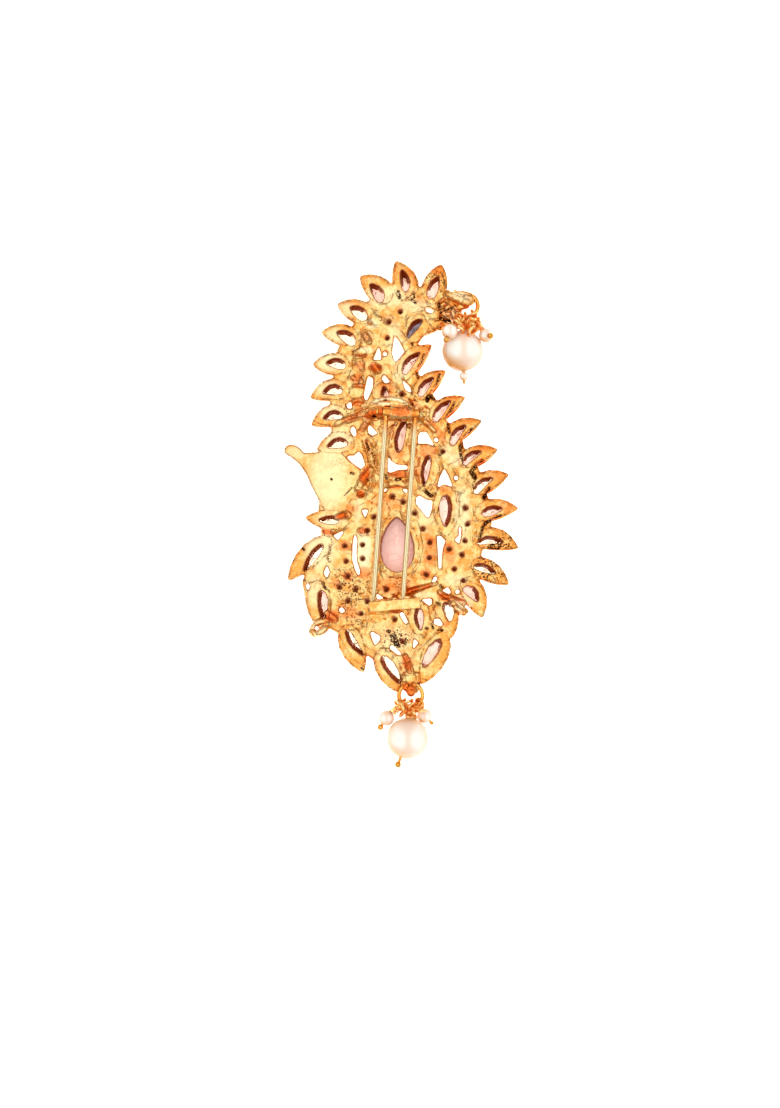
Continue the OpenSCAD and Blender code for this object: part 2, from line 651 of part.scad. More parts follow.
module pearl(h) {
    out = (bead_middle(h) - pearl_middle(h)) / norm(bead_middle(h) - pearl_middle(h));
    reach = h[PEARL_R] + 1;
    color("#fbeee2") difference() {
        translate(pearl_middle(h)) sphere(h[PEARL_R], $fn = 64);
        rod_between(pearl_middle(h) - out * reach, pearl_middle(h) + out * reach, head_wire_r + bore_play);
    }
}

module upper_end_pearl() {
    h = head_pins[0];
    out = (bead_middle(h) - pearl_middle(h)) / norm(bead_middle(h) - pearl_middle(h));
    place = bead_middle(h) - out * end_pearl_back;
    color("#fbeee2") difference() {
        translate(place) sphere(end_pearl_r, $fn = 64);
        rod_between(place - out * 2, place + out * 2, head_wire_r + bore_play);
    }
}

casting();
for (i = [0 : len(settings) - 1]) leaf_stone(i);
stone_middle();
small_stones(halo_holes);  // stones_halo
small_stones(stem_holes);  // stones_stem
small_stones(band_holes);  // stones_bands
hinge_rod();
double_pin();
jump_ring(upper_ring_at);  // upper_jump_ring
jump_ring(lower_ring_at);  // lower_jump_ring
upper_end_pearl();
for (h = head_pins) pearl(h);
for (h = head_pins) head_pin(h);
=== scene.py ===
import bpy
import bmesh
import json
import math
import numpy as np
from fnmatch import fnmatch
from mathutils import Matrix, Vector, noise
from mathutils.bvhtree import BVHTree

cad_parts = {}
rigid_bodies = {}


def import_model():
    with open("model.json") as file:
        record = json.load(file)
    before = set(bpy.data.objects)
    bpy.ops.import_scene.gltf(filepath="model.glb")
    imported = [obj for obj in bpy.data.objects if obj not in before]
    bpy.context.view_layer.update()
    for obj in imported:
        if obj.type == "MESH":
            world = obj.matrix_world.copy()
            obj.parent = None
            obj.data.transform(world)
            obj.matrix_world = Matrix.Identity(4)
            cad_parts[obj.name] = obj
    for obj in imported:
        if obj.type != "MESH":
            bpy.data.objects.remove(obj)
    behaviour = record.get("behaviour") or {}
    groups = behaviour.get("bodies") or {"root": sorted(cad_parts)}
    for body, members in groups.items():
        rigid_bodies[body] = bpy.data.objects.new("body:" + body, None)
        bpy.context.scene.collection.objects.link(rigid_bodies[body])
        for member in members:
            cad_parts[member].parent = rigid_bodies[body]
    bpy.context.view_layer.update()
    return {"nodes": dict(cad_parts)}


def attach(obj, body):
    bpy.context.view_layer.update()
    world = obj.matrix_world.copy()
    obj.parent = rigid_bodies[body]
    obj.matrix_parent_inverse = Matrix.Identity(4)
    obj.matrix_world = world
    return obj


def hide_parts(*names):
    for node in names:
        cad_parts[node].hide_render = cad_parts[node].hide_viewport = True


for thing in list(bpy.data.objects):
    bpy.data.objects.remove(thing)
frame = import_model()
nodes = frame["nodes"]
mm = 0.001
print("frame: loaded", len(nodes), "nodes")

# Places are read off the photograph in its pixels: the brooch's middle, and its length there and in reality.
photo = {"width": 780, "height": 1108, "midU": 401.5, "midV": 514.75, "longPixels": 506.5, "longMm": 97.7}
mmPerPixel = photo["longMm"] / photo["longPixels"]


def placeAt(u, v, zMm=0.0):
    x = (u - photo["midU"]) * mmPerPixel
    y = (photo["midV"] - v) * mmPerPixel
    return Vector((x * mm, y * mm, zMm * mm))


def pixelOf(x, y):
    # the photograph's pixel over a place in millimetres
    return x / mmPerPixel + photo["midU"], photo["midV"] - y / mmPerPixel


# The camera looks straight down on the brooch's back, as the photograph was taken.
cameraSet = {"lensMm": 50.0, "sensorMm": 36.0, "planeMm": 3.5, "nearestM": 0.01}
halfHeight = photo["height"] / 2 * mmPerPixel
distanceMm = halfHeight / (cameraSet["sensorMm"] / 2 / cameraSet["lensMm"])
camera = bpy.data.objects.new("camera", bpy.data.cameras.new("camera"))
camera.data.lens = cameraSet["lensMm"]
camera.data.sensor_width = cameraSet["sensorMm"]
camera.data.clip_start = cameraSet["nearestM"]
camera.location = placeAt(photo["width"] / 2, photo["height"] / 2, cameraSet["planeMm"] + distanceMm)
bpy.context.scene.collection.objects.link(camera)
bpy.context.scene.camera = camera
bpy.context.scene.view_settings.view_transform = "Standard"
bpy.context.scene.view_settings.look = "None"
print("camera: set")


# Small helpers for materials and meshes.
def linear(hexColour):
    channels = [int(hexColour[i:i + 2], 16) / 255 for i in (1, 3, 5)]
    return tuple(c / 12.92 if c <= 0.04045 else ((c + 0.055) / 1.055) ** 2.4 for c in channels) + (1.0,)


def giveAll(tree, have, node, given):
    # an input is given an earlier result, a hex colour or another value of its own
    for key, item in given.items():
        if isinstance(item, str) and item in have:
            tree.links.new(have[item], node.inputs[key])
        else:
            node.inputs[key].default_value = linear(item) if isinstance(item, str) else item


def addNode(tree, have, kind, settings, given):
    node = tree.nodes.new(kind)
    for name, value in settings.items():
        setattr(node, name, value)
    giveAll(tree, have, node, given)
    return node


def meshObject(name, mesh, material=None, smooth=True):
    piece = bpy.data.objects.new(name, mesh)
    bpy.context.scene.collection.objects.link(piece)
    if material:
        mesh.materials.clear()
        mesh.materials.append(material)
    if smooth:
        mesh.shade_smooth()
    return piece


def plainMesh(piece, name):
    # the evaluated shape as a mesh of its own
    graph = bpy.context.evaluated_depsgraph_get()
    mesh = bpy.data.meshes.new_from_object(piece.evaluated_get(graph))
    mesh.name = name
    return mesh


def mergedCopy(node, name):
    # a CAD mesh is loose triangles, so its copy is merged first
    work = bmesh.new()
    work.from_mesh(nodes[node].data)
    bmesh.ops.remove_doubles(work, verts=work.verts, dist=1e-6)
    mesh = bpy.data.meshes.new(name)
    work.to_mesh(mesh)
    work.free()
    return mesh


def softStep(low, high, value):
    t = np.clip((value - low) / (high - low), 0, 1)
    return t * t * (3 - 2 * t)


def vectorsOf(mesh, label):
    # the vertices' places ("co") or directions ("normal")
    flat = np.zeros(len(mesh.vertices) * 3, np.float32)
    mesh.vertices.foreach_get(label, flat)
    return flat.reshape(-1, 3).astype(float)


def moveVertices(mesh, spotsMm):
    mesh.vertices.foreach_set("co", (spotsMm * mm).astype(np.float32).ravel())
    mesh.update()


def addAttribute(mesh, name, values):
    layer = mesh.attributes.new(name, "FLOAT", "POINT")
    layer.data.foreach_set("value", np.clip(values, 0, 1).astype(np.float32))


# The ways that steps are made: the kind of node, its settings, its inputs in order, and its output.
limits = ("Value", "From Min", "From Max", "To Min", "To Max")
ways = {
    "object": ("ShaderNodeTexCoord", {}, (), "Object"),
    "outward": ("ShaderNodeTexCoord", {}, (), "Normal"),
    "skyward": ("ShaderNodeTexCoord", {}, (), "Generated"),
    "noise": ("ShaderNodeTexNoise", {}, ("Vector", "Scale", "Detail", "Roughness", "Distortion"), "Fac"),
    "cells": ("ShaderNodeTexVoronoi", {}, ("Vector", "Scale"), "Distance"),
    "folds": ("ShaderNodeTexVoronoi", {"feature": "DISTANCE_TO_EDGE"}, ("Vector", "Scale"), "Distance"),
    "between": ("ShaderNodeMapRange", {}, limits, 0),
    "eased": ("ShaderNodeMapRange", {"interpolation_type": "SMOOTHSTEP"}, limits, 0),
    "times": ("ShaderNodeMath", {"operation": "MULTIPLY"}, (0, 1), 0),
    "plus": ("ShaderNodeMath", {"operation": "ADD", "use_clamp": True}, (0, 1), 0),
    "minus": ("ShaderNodeMath", {"operation": "SUBTRACT"}, (0, 1), 0),
    "most": ("ShaderNodeMath", {"operation": "MAXIMUM"}, (0, 1), 0),
    "size": ("ShaderNodeMath", {"operation": "ABSOLUTE"}, (0,), 0),
    "stretched": ("ShaderNodeVectorMath", {"operation": "MULTIPLY"}, (0, 1), 0),
    "apart": ("ShaderNodeVectorMath", {"operation": "DISTANCE"}, (0, 1), "Value"),
    "along": ("ShaderNodeVectorMath", {"operation": "DOT_PRODUCT"}, (0, 1), "Value"),
    "mixed": ("ShaderNodeMix", {"data_type": "RGBA"}, (0, 6, 7), 2),
    "ramp": ("ShaderNodeValToRGB", {}, ("Fac",), "Color"),
    "bump": ("ShaderNodeBump", {}, ("Height", "Strength", "Distance", "Normal"), 0),
    "circle": ("GeometryNodeCurvePrimitiveCircle", {}, ("Resolution", "Radius"), 0),
    "spiral": ("GeometryNodeCurveSpiral", {},
               ("Resolution", "Rotations", "Start Radius", "End Radius", "Height"), 0),
    "tube": ("GeometryNodeCurveToMesh", {}, (0, 1, "Fill Caps"), 0),
    "path": ("GeometryNodeMeshToCurve", {}, ("Mesh",), 0),
    "even": ("GeometryNodeResampleCurve", {"mode": "LENGTH"}, ("Curve", "Length"), 0),
    "ball": ("GeometryNodeMeshIcoSphere", {}, ("Subdivisions", "Radius"), 0),
    "random": ("FunctionNodeRandomValue", {"data_type": "FLOAT"}, (2, 3, "Seed"), 1),
    "turned": ("FunctionNodeRandomValue", {"data_type": "FLOAT_VECTOR"}, (0, 1, "Seed"), 0),
    "placed": ("GeometryNodeInstanceOnPoints", {}, ("Points", "Instance", "Rotation", "Scale"), 0),
    "plain": ("GeometryNodeRealizeInstances", {}, (0,), 0),
    "dressed": ("GeometryNodeSetMaterial", {}, ("Geometry", "Material"), 0),
}


def runSteps(tree, have, steps):
    # a step names its result, its way and what goes in; the size of a pattern is in millimetres
    for result, way, *items in steps:
        kind, settings, inputs, output = ways[way]
        given = dict(zip(inputs, items))
        if way in ("noise", "cells", "folds"):
            given["Scale"] = 1000 / given["Scale"]
        have[result] = addNode(tree, have, kind, settings, given).outputs[output]


def newMaterial(name, look):
    material = bpy.data.materials.new(name)
    material.use_nodes = True
    tree, have = material.node_tree, {}
    for mask in look.get("masks", ()):
        have[mask] = addNode(tree, have, "ShaderNodeAttribute", {"attribute_name": mask}, {}).outputs["Fac"]
    runSteps(tree, have, look.get("steps", ()))
    giveAll(tree, have, tree.nodes["Principled BSDF"], look["shader"])
    return material


# Masks on the casting's vertices, which its material reads by name.
maskNames = ("wall", "shadeAndPits", "solder", "pale", "pits", "rim")

# Gilded cast brass: lost-wax cast, tumbled and flash plated, so it is bright and soft edged, with deep gold
# in random patches, painted orange shade along the rim, pale painted highlights, and dark brown painted shade
# down in the grooves and along edges.
castingLook = {
    "masks": maskNames,
    "steps": [
        ("place", "object"),
        ("patches", "noise", "place", 1.6, 8.0, 0.66),
        ("share", "between", "patches", 0.44, 0.58),
        ("colour", "mixed", "share", "#F3CD86", "#EA9F4E"),  # gold and deep gold
        ("share", "between", "patches", 0.35, 0.5),
        ("share", "times", "rim", "share"),
        ("colour", "mixed", "share", "colour", "#EF9E4A"),  # painted orange shade along the rim, where the surface rolls away from the light
        ("worked", "most", "rim", "solder"),
        ("worked", "most", "worked", "pits"),
        ("worked", "between", "worked", 0.0, 0.7, 0.25),
        ("pepper", "noise", "place", 0.5, 3.0, 0.7),
        ("share", "between", "pepper", 0.53, 0.6, 0.0, 0.6),
        ("share", "times", "share", "worked"),
        ("colour", "mixed", "share", "colour", "#C9772E"),  # peppered where it was worked
        # pale painted highlight where the light falls brightest
        ("colour", "mixed", "pale", "colour", "#F6DFAE"),
        ("colour", "mixed", "solder", "colour", "#E0621F"),
        ("grains", "cells", "place", 0.5),
        ("share", "between", "grains", 0.42, 0.28),
        ("share", "times", "share", "pits"),
        ("colour", "mixed", "share", "colour", "#34170A"),  # specks in sandy places
        ("waves", "noise", "place", 1.1, 2.0, 0.5, 0.6),
        ("waves", "minus", "waves", 0.5),
        ("waves", "size", "waves"),
        ("line", "between", "waves", 0.022, 0.006),
        ("flow", "between", "patches", 0.5, 0.56),
        ("flow", "times", "solder", "flow"),
        ("flow", "most", "pits", "flow"),
        ("bare", "between", "patches", 0.58, 0.7, 0.0, 0.2),
        ("flow", "plus", "flow", "bare"),
        ("share", "times", "line", "flow"),
        ("colour", "mixed", "share", "colour", "#6A3A14"),  # fine wrinkles
        ("grit", "noise", "place", 0.32, 2.0),
        ("share", "between", "grit", 0.42, 0.53, 0.2),
        ("share", "times", "shadeAndPits", "share"),
        ("share", "between", "share", 0.12, 0.55),
        # painted shade, dark brown, in the grooves and along edges, and the dark pits and scratches
        ("colour", "mixed", "share", "colour", "#240C05"),
        # red-brown oxide on every window wall, with painted shade on the side that faces the given way
        ("colour", "mixed", "wall", "colour", "#963610"),
        ("metal", "between", "wall", 0.0, 1.0, 1.0, 0.25),
        ("lumps", "noise", "place", 0.8, 3.0),
        ("coarse", "bump", "lumps", 0.35, 0.12 * mm),
        ("grain", "noise", "place", 0.3, 2.0),
        ("fine", "bump", "grain", 0.3, 0.04 * mm, "coarse"),
    ],
    "shader": {"Base Color": "colour", "Metallic": "metal", "Roughness": 0.27, "Normal": "fine"},
}
gildedCasting = newMaterial("gilded cast brass", castingLook)


# Gilded brass wire: drawn through a die, so it is smooth, with plating that is yellow or orange in patches;
# its glow is a painted glow.
def wireLook(yellow, orange, roughness, glow):
    return {
        "steps": [
            ("place", "object"),
            ("patches", "noise", "place", 1.1, 3.0),
            ("share", "between", "patches", 0.42, 0.58),
            ("colour", "mixed", "share", yellow, orange),
        ],
        "shader": {"Base Color": "colour", "Emission Color": "colour", "Emission Strength": glow,
                   "Metallic": 1.0, "Roughness": roughness},
    }


gildedWire = newMaterial("gilded drawn wire", wireLook("#EDB964", "#E29A42", 0.24, 0.0))
# a faint painted glow keeps the crowded loops and wraps bright among themselves
crowdWire = newMaterial("thin gilded wire wound by hand", wireLook("#FFE096", "#EA7F2E", 0.3, 0.06))


# Pressed and fire-polished glass: clear through, so it shows the pale ground, with a tint and sharp facets.
def glassLook(tint, clear, roughness):
    return {"shader": {"Base Color": tint, "Roughness": roughness, "IOR": 1.52, "Transmission Weight": clear}}


pinkGlass = newMaterial("pale pink pressed glass", glassLook("#F5D1BF", 0.45, 0.12))
clearGlass = newMaterial("clear pressed glass", glassLook("#FCEBD2", 0.6, 0.1))
smokyGlass = newMaterial("smoky pressed glass", glassLook("#6F5A66", 0.6, 0.06))

# Small round stones: pink glass, brown above 1.4 mm where it shows through the holes, with a painted glow.
brownTopLook = {
    "steps": [
        ("place", "object"),
        ("height", "along", "place", (0.0, 0.0, 1.0)),
        ("share", "between", "height", 1.3 * mm, 1.4 * mm),
        ("colour", "mixed", "share", "#F3C9C2", "#A5502A"),
    ],
    # a painted glow that keeps the stones bright
    "shader": {"Base Color": "colour", "Emission Color": "colour", "Emission Strength": 0.3,
               "Roughness": 0.15},
}
brownTopGlass = newMaterial("pink glass with brown top and painted glow", brownTopLook)

# The middle stone: rose glass, evenly pink with a faint crackle, and a painted glow that keeps it bright down
# in its setting.
rosyLook = {
    "steps": [
        ("place", "object"),
        ("cloud", "noise", "place", 1.2, 5.0, 0.65),
        ("colour", "mixed", "cloud", "#FBD6C9", "#F0BCAC"),
        ("crack", "folds", "place", 2.4),
        ("crack", "between", "crack", 0.035, 0.0, 0.0, 0.5),
        ("colour", "mixed", "crack", "colour", "#C98E7C"),
    ],
    # painted glow
    "shader": {"Base Color": "colour", "Emission Color": "colour", "Emission Strength": 0.34,
               "Specular IOR Level": 0.3, "Roughness": 0.3},
}
rosyGlass = newMaterial("rose glass with painted glow", rosyLook)

# Faux pearl: a creamy bead under a thin clear coat, with two painted highlights, the reflections of soft
# lights on the left and right, rosier cream between them, a painted tan shade round its edge, warmer on its
# lower left, and a faint painted glow.
pearlLook = {
    "steps": [
        ("outward", "outward"),
        ("narrowed", "stretched", "outward", (1.0, 0.62, 0.8)),
        ("left", "apart", "narrowed", (-0.44, 0.03, 0.72)),
        ("left", "eased", "left", 0.5, 0.16),
        ("right", "apart", "narrowed", (0.46, 0.03, 0.72)),
        ("right", "eased", "right", 0.5, 0.16),
        # painted highlights: the reflections of soft lights on the left and right
        ("highlights", "most", "left", "right"),
        ("colour", "mixed", "highlights", "#F9DCC4", "#FFFBF0"),
        ("height", "along", "outward", (0.0, 0.0, 1.0)),
        ("height", "size", "height"),
        # painted tan shade round the edge
        ("edge", "eased", "height", 0.7, 0.2, 0.0, 0.95),
        ("colour", "mixed", "edge", "colour", "#E5BC8C"),
        # painted warm shade on the lower left
        ("lean", "along", "outward", (-0.5, -0.85, 0.0)),
        ("warmShade", "eased", "lean", 0.35, 0.95, 0.0, 0.9),
        ("colour", "mixed", "warmShade", "colour", "#EFAA58"),
    ],
    # a faint painted glow
    "shader": {"Base Color": "colour", "Emission Color": "colour", "Emission Strength": 0.05,
               "Roughness": 0.3, "Coat Weight": 0.5, "Coat Roughness": 0.15},
}
pearlCoat = newMaterial("dipped faux pearl", pearlLook)

# Spring wire of the pins: pale plating with a painted dark reflection in a line along the top, and heated to
# orange at the hinge.
# The two wires lie turned by a few degrees, each 2.8 mm from the middle line that is 1.456 mm left of zero.
pinTurn = math.radians(-3.9)
pinLook = {
    "steps": [
        ("place", "object"),
        ("aside", "along", "place", (math.cos(pinTurn), math.sin(pinTurn), 0.0)),
        ("aside", "minus", "aside", -1.456 * mm),
        ("aside", "size", "aside"),
        ("aside", "minus", "aside", 2.8 * mm),
        ("aside", "size", "aside"),
        ("line", "between", "aside", 0.11 * mm, 0.055 * mm),
        ("outward", "outward"),
        ("up", "along", "outward", (0.0, 0.0, 1.0)),
        ("up", "between", "up", 0.5, 0.8, 0.0, 0.75),
        # painted dark reflection in a line along the top of each wire
        ("topReflection", "times", "line", "up"),
        ("plated", "mixed", "topReflection", "#FBE8B8", "#84763C"),
        ("cloud", "noise", "place", 0.9, 5.0, 0.65),
        ("share", "between", "cloud", 0.42, 0.58),
        ("heated", "mixed", "share", "#E9822F", "#F2B25C"),
        ("hot", "along", "place", (0.0, 1.0, 0.0)),
        ("hot", "between", "hot", 15.2 * mm, 17.6 * mm),
        ("colour", "mixed", "hot", "plated", "heated"),
        ("rough", "bump", "cloud", "hot", 0.15 * mm),
    ],
    "shader": {"Base Color": "colour", "Normal": "rough", "Metallic": 1.0, "Roughness": 0.24},
}
pinWire = newMaterial("pale gilded spring wire", pinLook)
print("materials: made")

# Each node takes the look of the first name that fits; a star stands for any letters.
clearStones = ["stone_left_%d" % i for i in range(1, 9)] + ["stone_foot_%d" % i for i in (1, 2, 4)]
clearStones += ["stone_right_%d" % i for i in (2, 3, 5)]
nodeLooks = [(name, clearGlass) for name in clearStones] + [
    ("casting", gildedCasting), ("double_pin", pinWire), ("*_head_pin", gildedWire), ("*pearl*", pearlCoat),
    ("stone_middle", rosyGlass), ("stone_hook_leaf", smokyGlass), ("stones_*", brownTopGlass),
    ("stone_*", pinkGlass), ("*", gildedWire),
]
for name, piece in nodes.items():
    piece.data.materials.clear()
    piece.data.materials.append(next(look for fitting, look in nodeLooks if fnmatch(name, fitting)))

# The casting's skin: the CAD casting, remeshed so that its layers flow together, then worked as a relief.
# What a user would change: mesh size, softness, heights, and the depths of the relief in millimetres.
castingSet = {
    "voxelMm": 0.16, "smoothTurns": 2, "smoothShare": 0.5, "bands": 4,
    "lowestMm": 2.0, "plateMm": 3.5, "highestMm": 4.65, "fadeMm": 0.3, "solderMm": 0.09, "solderWaveMm": 0.55,
}
reliefSet = {
    "gridMm": 0.12, "marginMm": 1.0, "aboveM": 0.02, "edgeReachMm": 2.4, "rimReachMm": 4.0, "spillTurns": 4,
    "levelBlurMm": 0.75, "levelShare": 0.88, "creaseDepthMm": 0.34, "creaseWidthMm": 0.16,
    "markDepthMm": 0.25, "markCore": 0.35, "markReach": 0.75,
    "rimDropMm": 0.5, "rimWidthMm": 1.15, "edgeDropMm": 0.1, "edgeWidthMm": 0.35, "leafMm": (1.2, 3.4),
    # cast surface: size, seed and depth in millimetres, and how much calmer it is in some places
    "lumps": (1.3, 3.1, 0.28), "knobs": (0.6, 7.7, 0.11), "grit": (0.38, 5.3, 0.1), "solderKnobs": 1.6,
    "birdCalm": 0.9, "paleCalm": 0.4, "leafCalm": 0.75, "birdRim": 0.5,
}

# Windows whose wall with painted shade isn't the upper one: place and reach in pixels, and the way that the
# wall looks.
wallTurns = [
    (311, 558, 20, -35), (322, 605, 20, 15), (355, 643, 19, 40), (391, 670, 18, 25), (431, 654, 16, -120),
    (471, 595, 13, 175), (446, 511, 20, -165), (426, 471, 20, -30), (402, 436, 22, -25), (345, 310, 0, -70),
    (490, 511, 10, -95), (447, 612, 12, -60), (419, 619, 14, -40),
]

# Grooves between leaves, straps and rings: shares of depth and width, then lines as chains of pixels.
creases = {
    (1.0, 1.7): [(471, 430, 464, 440, 460, 447, 461, 456, 464, 464), (489, 488, 484, 497), (500, 516,
        489, 521, 483, 526, 479, 540)],
    (1.0, 1.6): [(482, 461, 474, 467, 471, 472, 474, 477)],
    (1.0, 1.4): [(440, 374, 436, 387, 431, 396, 427, 400)],
    (1.0, 1.3): [(424, 355, 421, 364, 417, 374, 418, 378), (455, 402, 450, 412, 448, 424, 449, 432)],
    (1.0, 1.2): [(502, 541, 498, 549, 488, 548)],
    (0.8, 1.4): [(426, 492, 431, 496, 435, 494)],
    (0.8, 1.2): [(443, 500, 440, 506, 437, 513), (331, 546, 328, 558, 330, 562)],
    (0.8, 1.0): [(476, 478, 472, 486, 476, 492)],
    (0.8, 0.8): [(303, 578, 306, 582, 311, 582)],
    (0.7, 1.1): [(441, 272, 445, 281, 447, 291)],
    (0.7, 1.0): [(321, 580, 325, 587, 331, 592)],
    (0.7, 0.9): [(352, 352, 359, 348, 361, 340), (352, 359, 352, 368, 347, 378), (402, 402, 412, 412,
        418, 421)],
    (0.7, 0.8): [(417, 312, 424, 315, 428, 322, 433, 329, 438, 331), (402, 376, 406, 386, 412, 394,
        416, 398), (466, 526, 466, 531), (421, 679, 427, 681, 431, 684)],
    (0.6, 1.0): [(440, 586, 444, 589), (405, 301, 411, 297, 414, 292), (418, 296, 424, 293, 428, 282,
        436, 272)],
    (0.6, 0.9): [(322, 611, 326, 617, 334, 621, 342, 628, 352, 629), (366, 645, 374, 652, 380, 655),
        (368, 612, 384, 614, 398, 613), (349, 424, 362, 419, 374, 421)],
    (0.6, 0.8): [(322, 393, 334, 395, 341, 398, 348, 401), (312, 420, 320, 425, 331, 428), (392, 372,
        398, 385, 407, 398, 414, 408), (423, 428, 430, 434, 440, 445, 448, 450), (452, 466, 458, 475,
        465, 478, 468, 487, 462, 493), (440, 440, 444, 448), (385, 482, 398, 480, 409, 482), (378, 440,
        376, 450, 379, 462), (337, 633, 345, 648, 357, 663, 366, 668), (403, 650, 409, 662, 412, 672),
        (409, 662, 417, 650, 428, 640, 438, 632), (405, 596, 414, 592, 428, 588, 440, 580), (452, 600,
        460, 606, 464, 610)],
    (0.5, 0.9): [(333, 536, 344, 531, 352, 527)],
    (0.5, 0.8): [(396, 322, 399, 330, 404, 337, 411, 344), (450, 452, 457, 460, 450, 463, 444, 467),
        (468, 498, 472, 508, 473, 518, 476, 530, 471, 538, 474, 550), (437, 489, 440, 484, 447, 484,
        456, 491, 458, 504), (383, 500, 377, 520, 375, 545, 377, 568, 384, 583, 398, 586, 410, 580,
        420, 566, 424, 548, 421, 528, 414, 508, 404, 500, 392, 498, 383, 500), (360, 506, 372, 500,
        384, 489, 398, 487, 409, 489), (366, 440, 368, 450, 372, 460, 378, 474), (340, 606, 352, 601,
        366, 600), (470, 580, 480, 585, 487, 592), (430, 611, 432, 620, 440, 630, 450, 632), (368, 312,
        372, 320, 368, 326, 360, 331), (395, 290, 398, 298, 404, 303)],
    (0.5, 0.6): [(459, 504, 461, 520)],
}

# Patches on the back, by strength: middle, half length and half width in pixels, and any turn in degrees.
# Solder and heavy plating look orange to red.
solderPatches = {
    1.0: [(375, 415, 16, 5.5, 12), (365, 476, 10, 6, 70), (361, 494, 4.5, 4.5), (342, 516, 8, 4.5, 10),
        (412, 590, 11, 5, 10)],
    0.95: [(445, 597, 9, 5, -30)],
    0.9: [(376, 368, 8, 6), (426, 587, 9, 3, 20), (407, 663, 11, 6, -75), (408, 688, 10, 8),
        (396, 611, 9, 3)],
    0.85: [(401, 413, 13, 7), (398, 474, 12, 4), (327, 532, 8, 3.5, -10), (332, 616, 9, 8)],
    0.8: [(363, 531, 6, 4), (457, 599, 10, 3, -15)],
    0.75: [(352, 418, 13, 3.5, 24)],
    0.7: [(397, 487, 11, 1.6), (361, 356, 8, 3), (357, 379, 8, 6), (466, 328, 10, 10)],
    0.65: [(448.5, 549, 8, 9)],
    0.6: [(364, 427, 11, 3.5, 48), (360, 366, 7, 5), (360, 386, 9, 3), (414, 404, 8, 4, -20),
        (446, 624, 4, 4), (466, 311, 6, 5), (344.5, 546, 7, 7), (348, 576, 7, 7), (429.9, 542.4, 7, 7),
        (429.4, 558.5, 7, 7), (426, 574, 7, 7), (386.4, 589.4, 7, 7)],
    0.55: [(441, 436, 13, 5, -62), (430, 424, 7, 4.5), (364, 573, 9, 8), (348, 612, 16, 8, -20),
        (428, 452, 12, 9)],
    0.5: [(358, 403, 9, 6), (386, 390, 16, 10, 90), (396, 585, 22, 11), (409, 709, 10, 6),
        (486, 447, 14, 6), (445, 488, 12, 5), (337, 584, 6, 6), (418, 470, 5, 14), (437, 270, 9, 7)],
    0.45: [(366, 338, 8, 6), (451, 397, 10, 5, -10), (466, 420, 12, 5), (450, 556, 7, 12)],
    0.4: [(426, 350, 8, 7), (436, 374, 10, 6), (497, 474, 13, 8), (506, 506, 10, 7), (396, 455, 12, 6),
        (392, 430, 5, 14), (352, 508, 8, 6)],
    0.35: [(397, 268, 5, 12), (411, 276, 9, 12), (366, 448, 5, 14), (430, 550, 8, 24), (388, 503, 20, 8),
        (420, 300, 8, 5)],
    0.3: [(372, 279, 16, 4, 10), (345, 303, 12, 4, 5), (389, 320, 10, 6)],
    0.25: [(447, 309, 12, 11)],
    0.15: [(437, 611, 6, 8)],
}
# Pale yellow patches: painted highlight where the light falls brightest, such as on the left leaves, the
# bird, the hinge's arch and the upper lug.
paleHighlightPatches = {
    0.95: [(364, 550, 9, 24)],
    0.9: [(390, 402.5, 22, 6)],
    0.7: [(330, 362, 16, 12), (338, 440, 16, 14), (320, 548, 18, 26), (372, 324, 8, 6),
        (459, 605, 11, 6, -40)],
    0.62: [(328, 478, 40, 24, 90)],
    0.6: [(335, 337, 14, 10), (326, 388, 16, 10), (330, 412, 14, 10), (462, 515, 10, 34), (456, 460, 9, 8),
        (455, 580, 14, 8), (395, 345, 9, 26), (366, 350, 10, 4), (318, 628, 11, 9), (460, 298, 13, 6, -15),
        (465, 602, 10, 10)],
    0.55: [(296, 453, 14, 8), (385, 297, 30, 12)],
    0.5: [(345, 310, 14, 10), (415, 306, 20, 8), (330, 520, 18, 8), (400, 372, 8, 14), (448, 452, 8, 8),
        (314, 590, 10, 22), (358, 510, 5, 16), (425, 595, 14, 4), (452, 317, 10, 9)],
    0.4: [(426, 512, 12, 22)],
    0.35: [(395, 640, 26, 18)],
    0.2: [(395, 660, 30, 20)],
}
# Sandy places where the mould's grit shows as dark specks.
sandyPatches = {
    1.0: [(396, 637, 20, 13), (504, 543, 17, 13), (490, 569, 24, 17)],
    0.9: [(350, 588, 26, 17, 90), (436, 284, 16, 13, 90)],
    0.8: [(388, 646, 10, 9), (428, 398, 7, 6), (485, 494, 6, 7)],
    0.7: [(358, 620, 24, 9, -20), (464, 447, 6, 9), (498, 519, 8, 6), (472, 474, 6, 6)],
    0.6: [(340, 578, 12, 14), (444, 268, 8, 14), (446, 311, 12, 14), (372, 455, 9, 20), (428, 488, 13, 8)],
    0.5: [(476, 430, 5, 6), (358, 378, 9, 8), (366, 590, 8, 20), (444, 400, 9, 4), (410, 297, 12, 7),
        (446, 424, 6, 8)],
    0.4: [(344, 404, 10, 7), (416, 590, 12, 6), (393, 574, 9, 6), (391, 296, 5, 8), (456, 588, 10, 6)],
    0.35: [(364, 338, 8, 9)],
    0.3: [(338, 462, 10, 7)],
}
# The flat bird, which keeps its plain surface, and the medallion's ring, which keeps its height.
birdPatches = {1.0: [(328, 480, 44, 30, 90), (296, 453, 18, 12)]}
medallionPatches = {0.6: [(397, 545, 42, 28, 90)]}
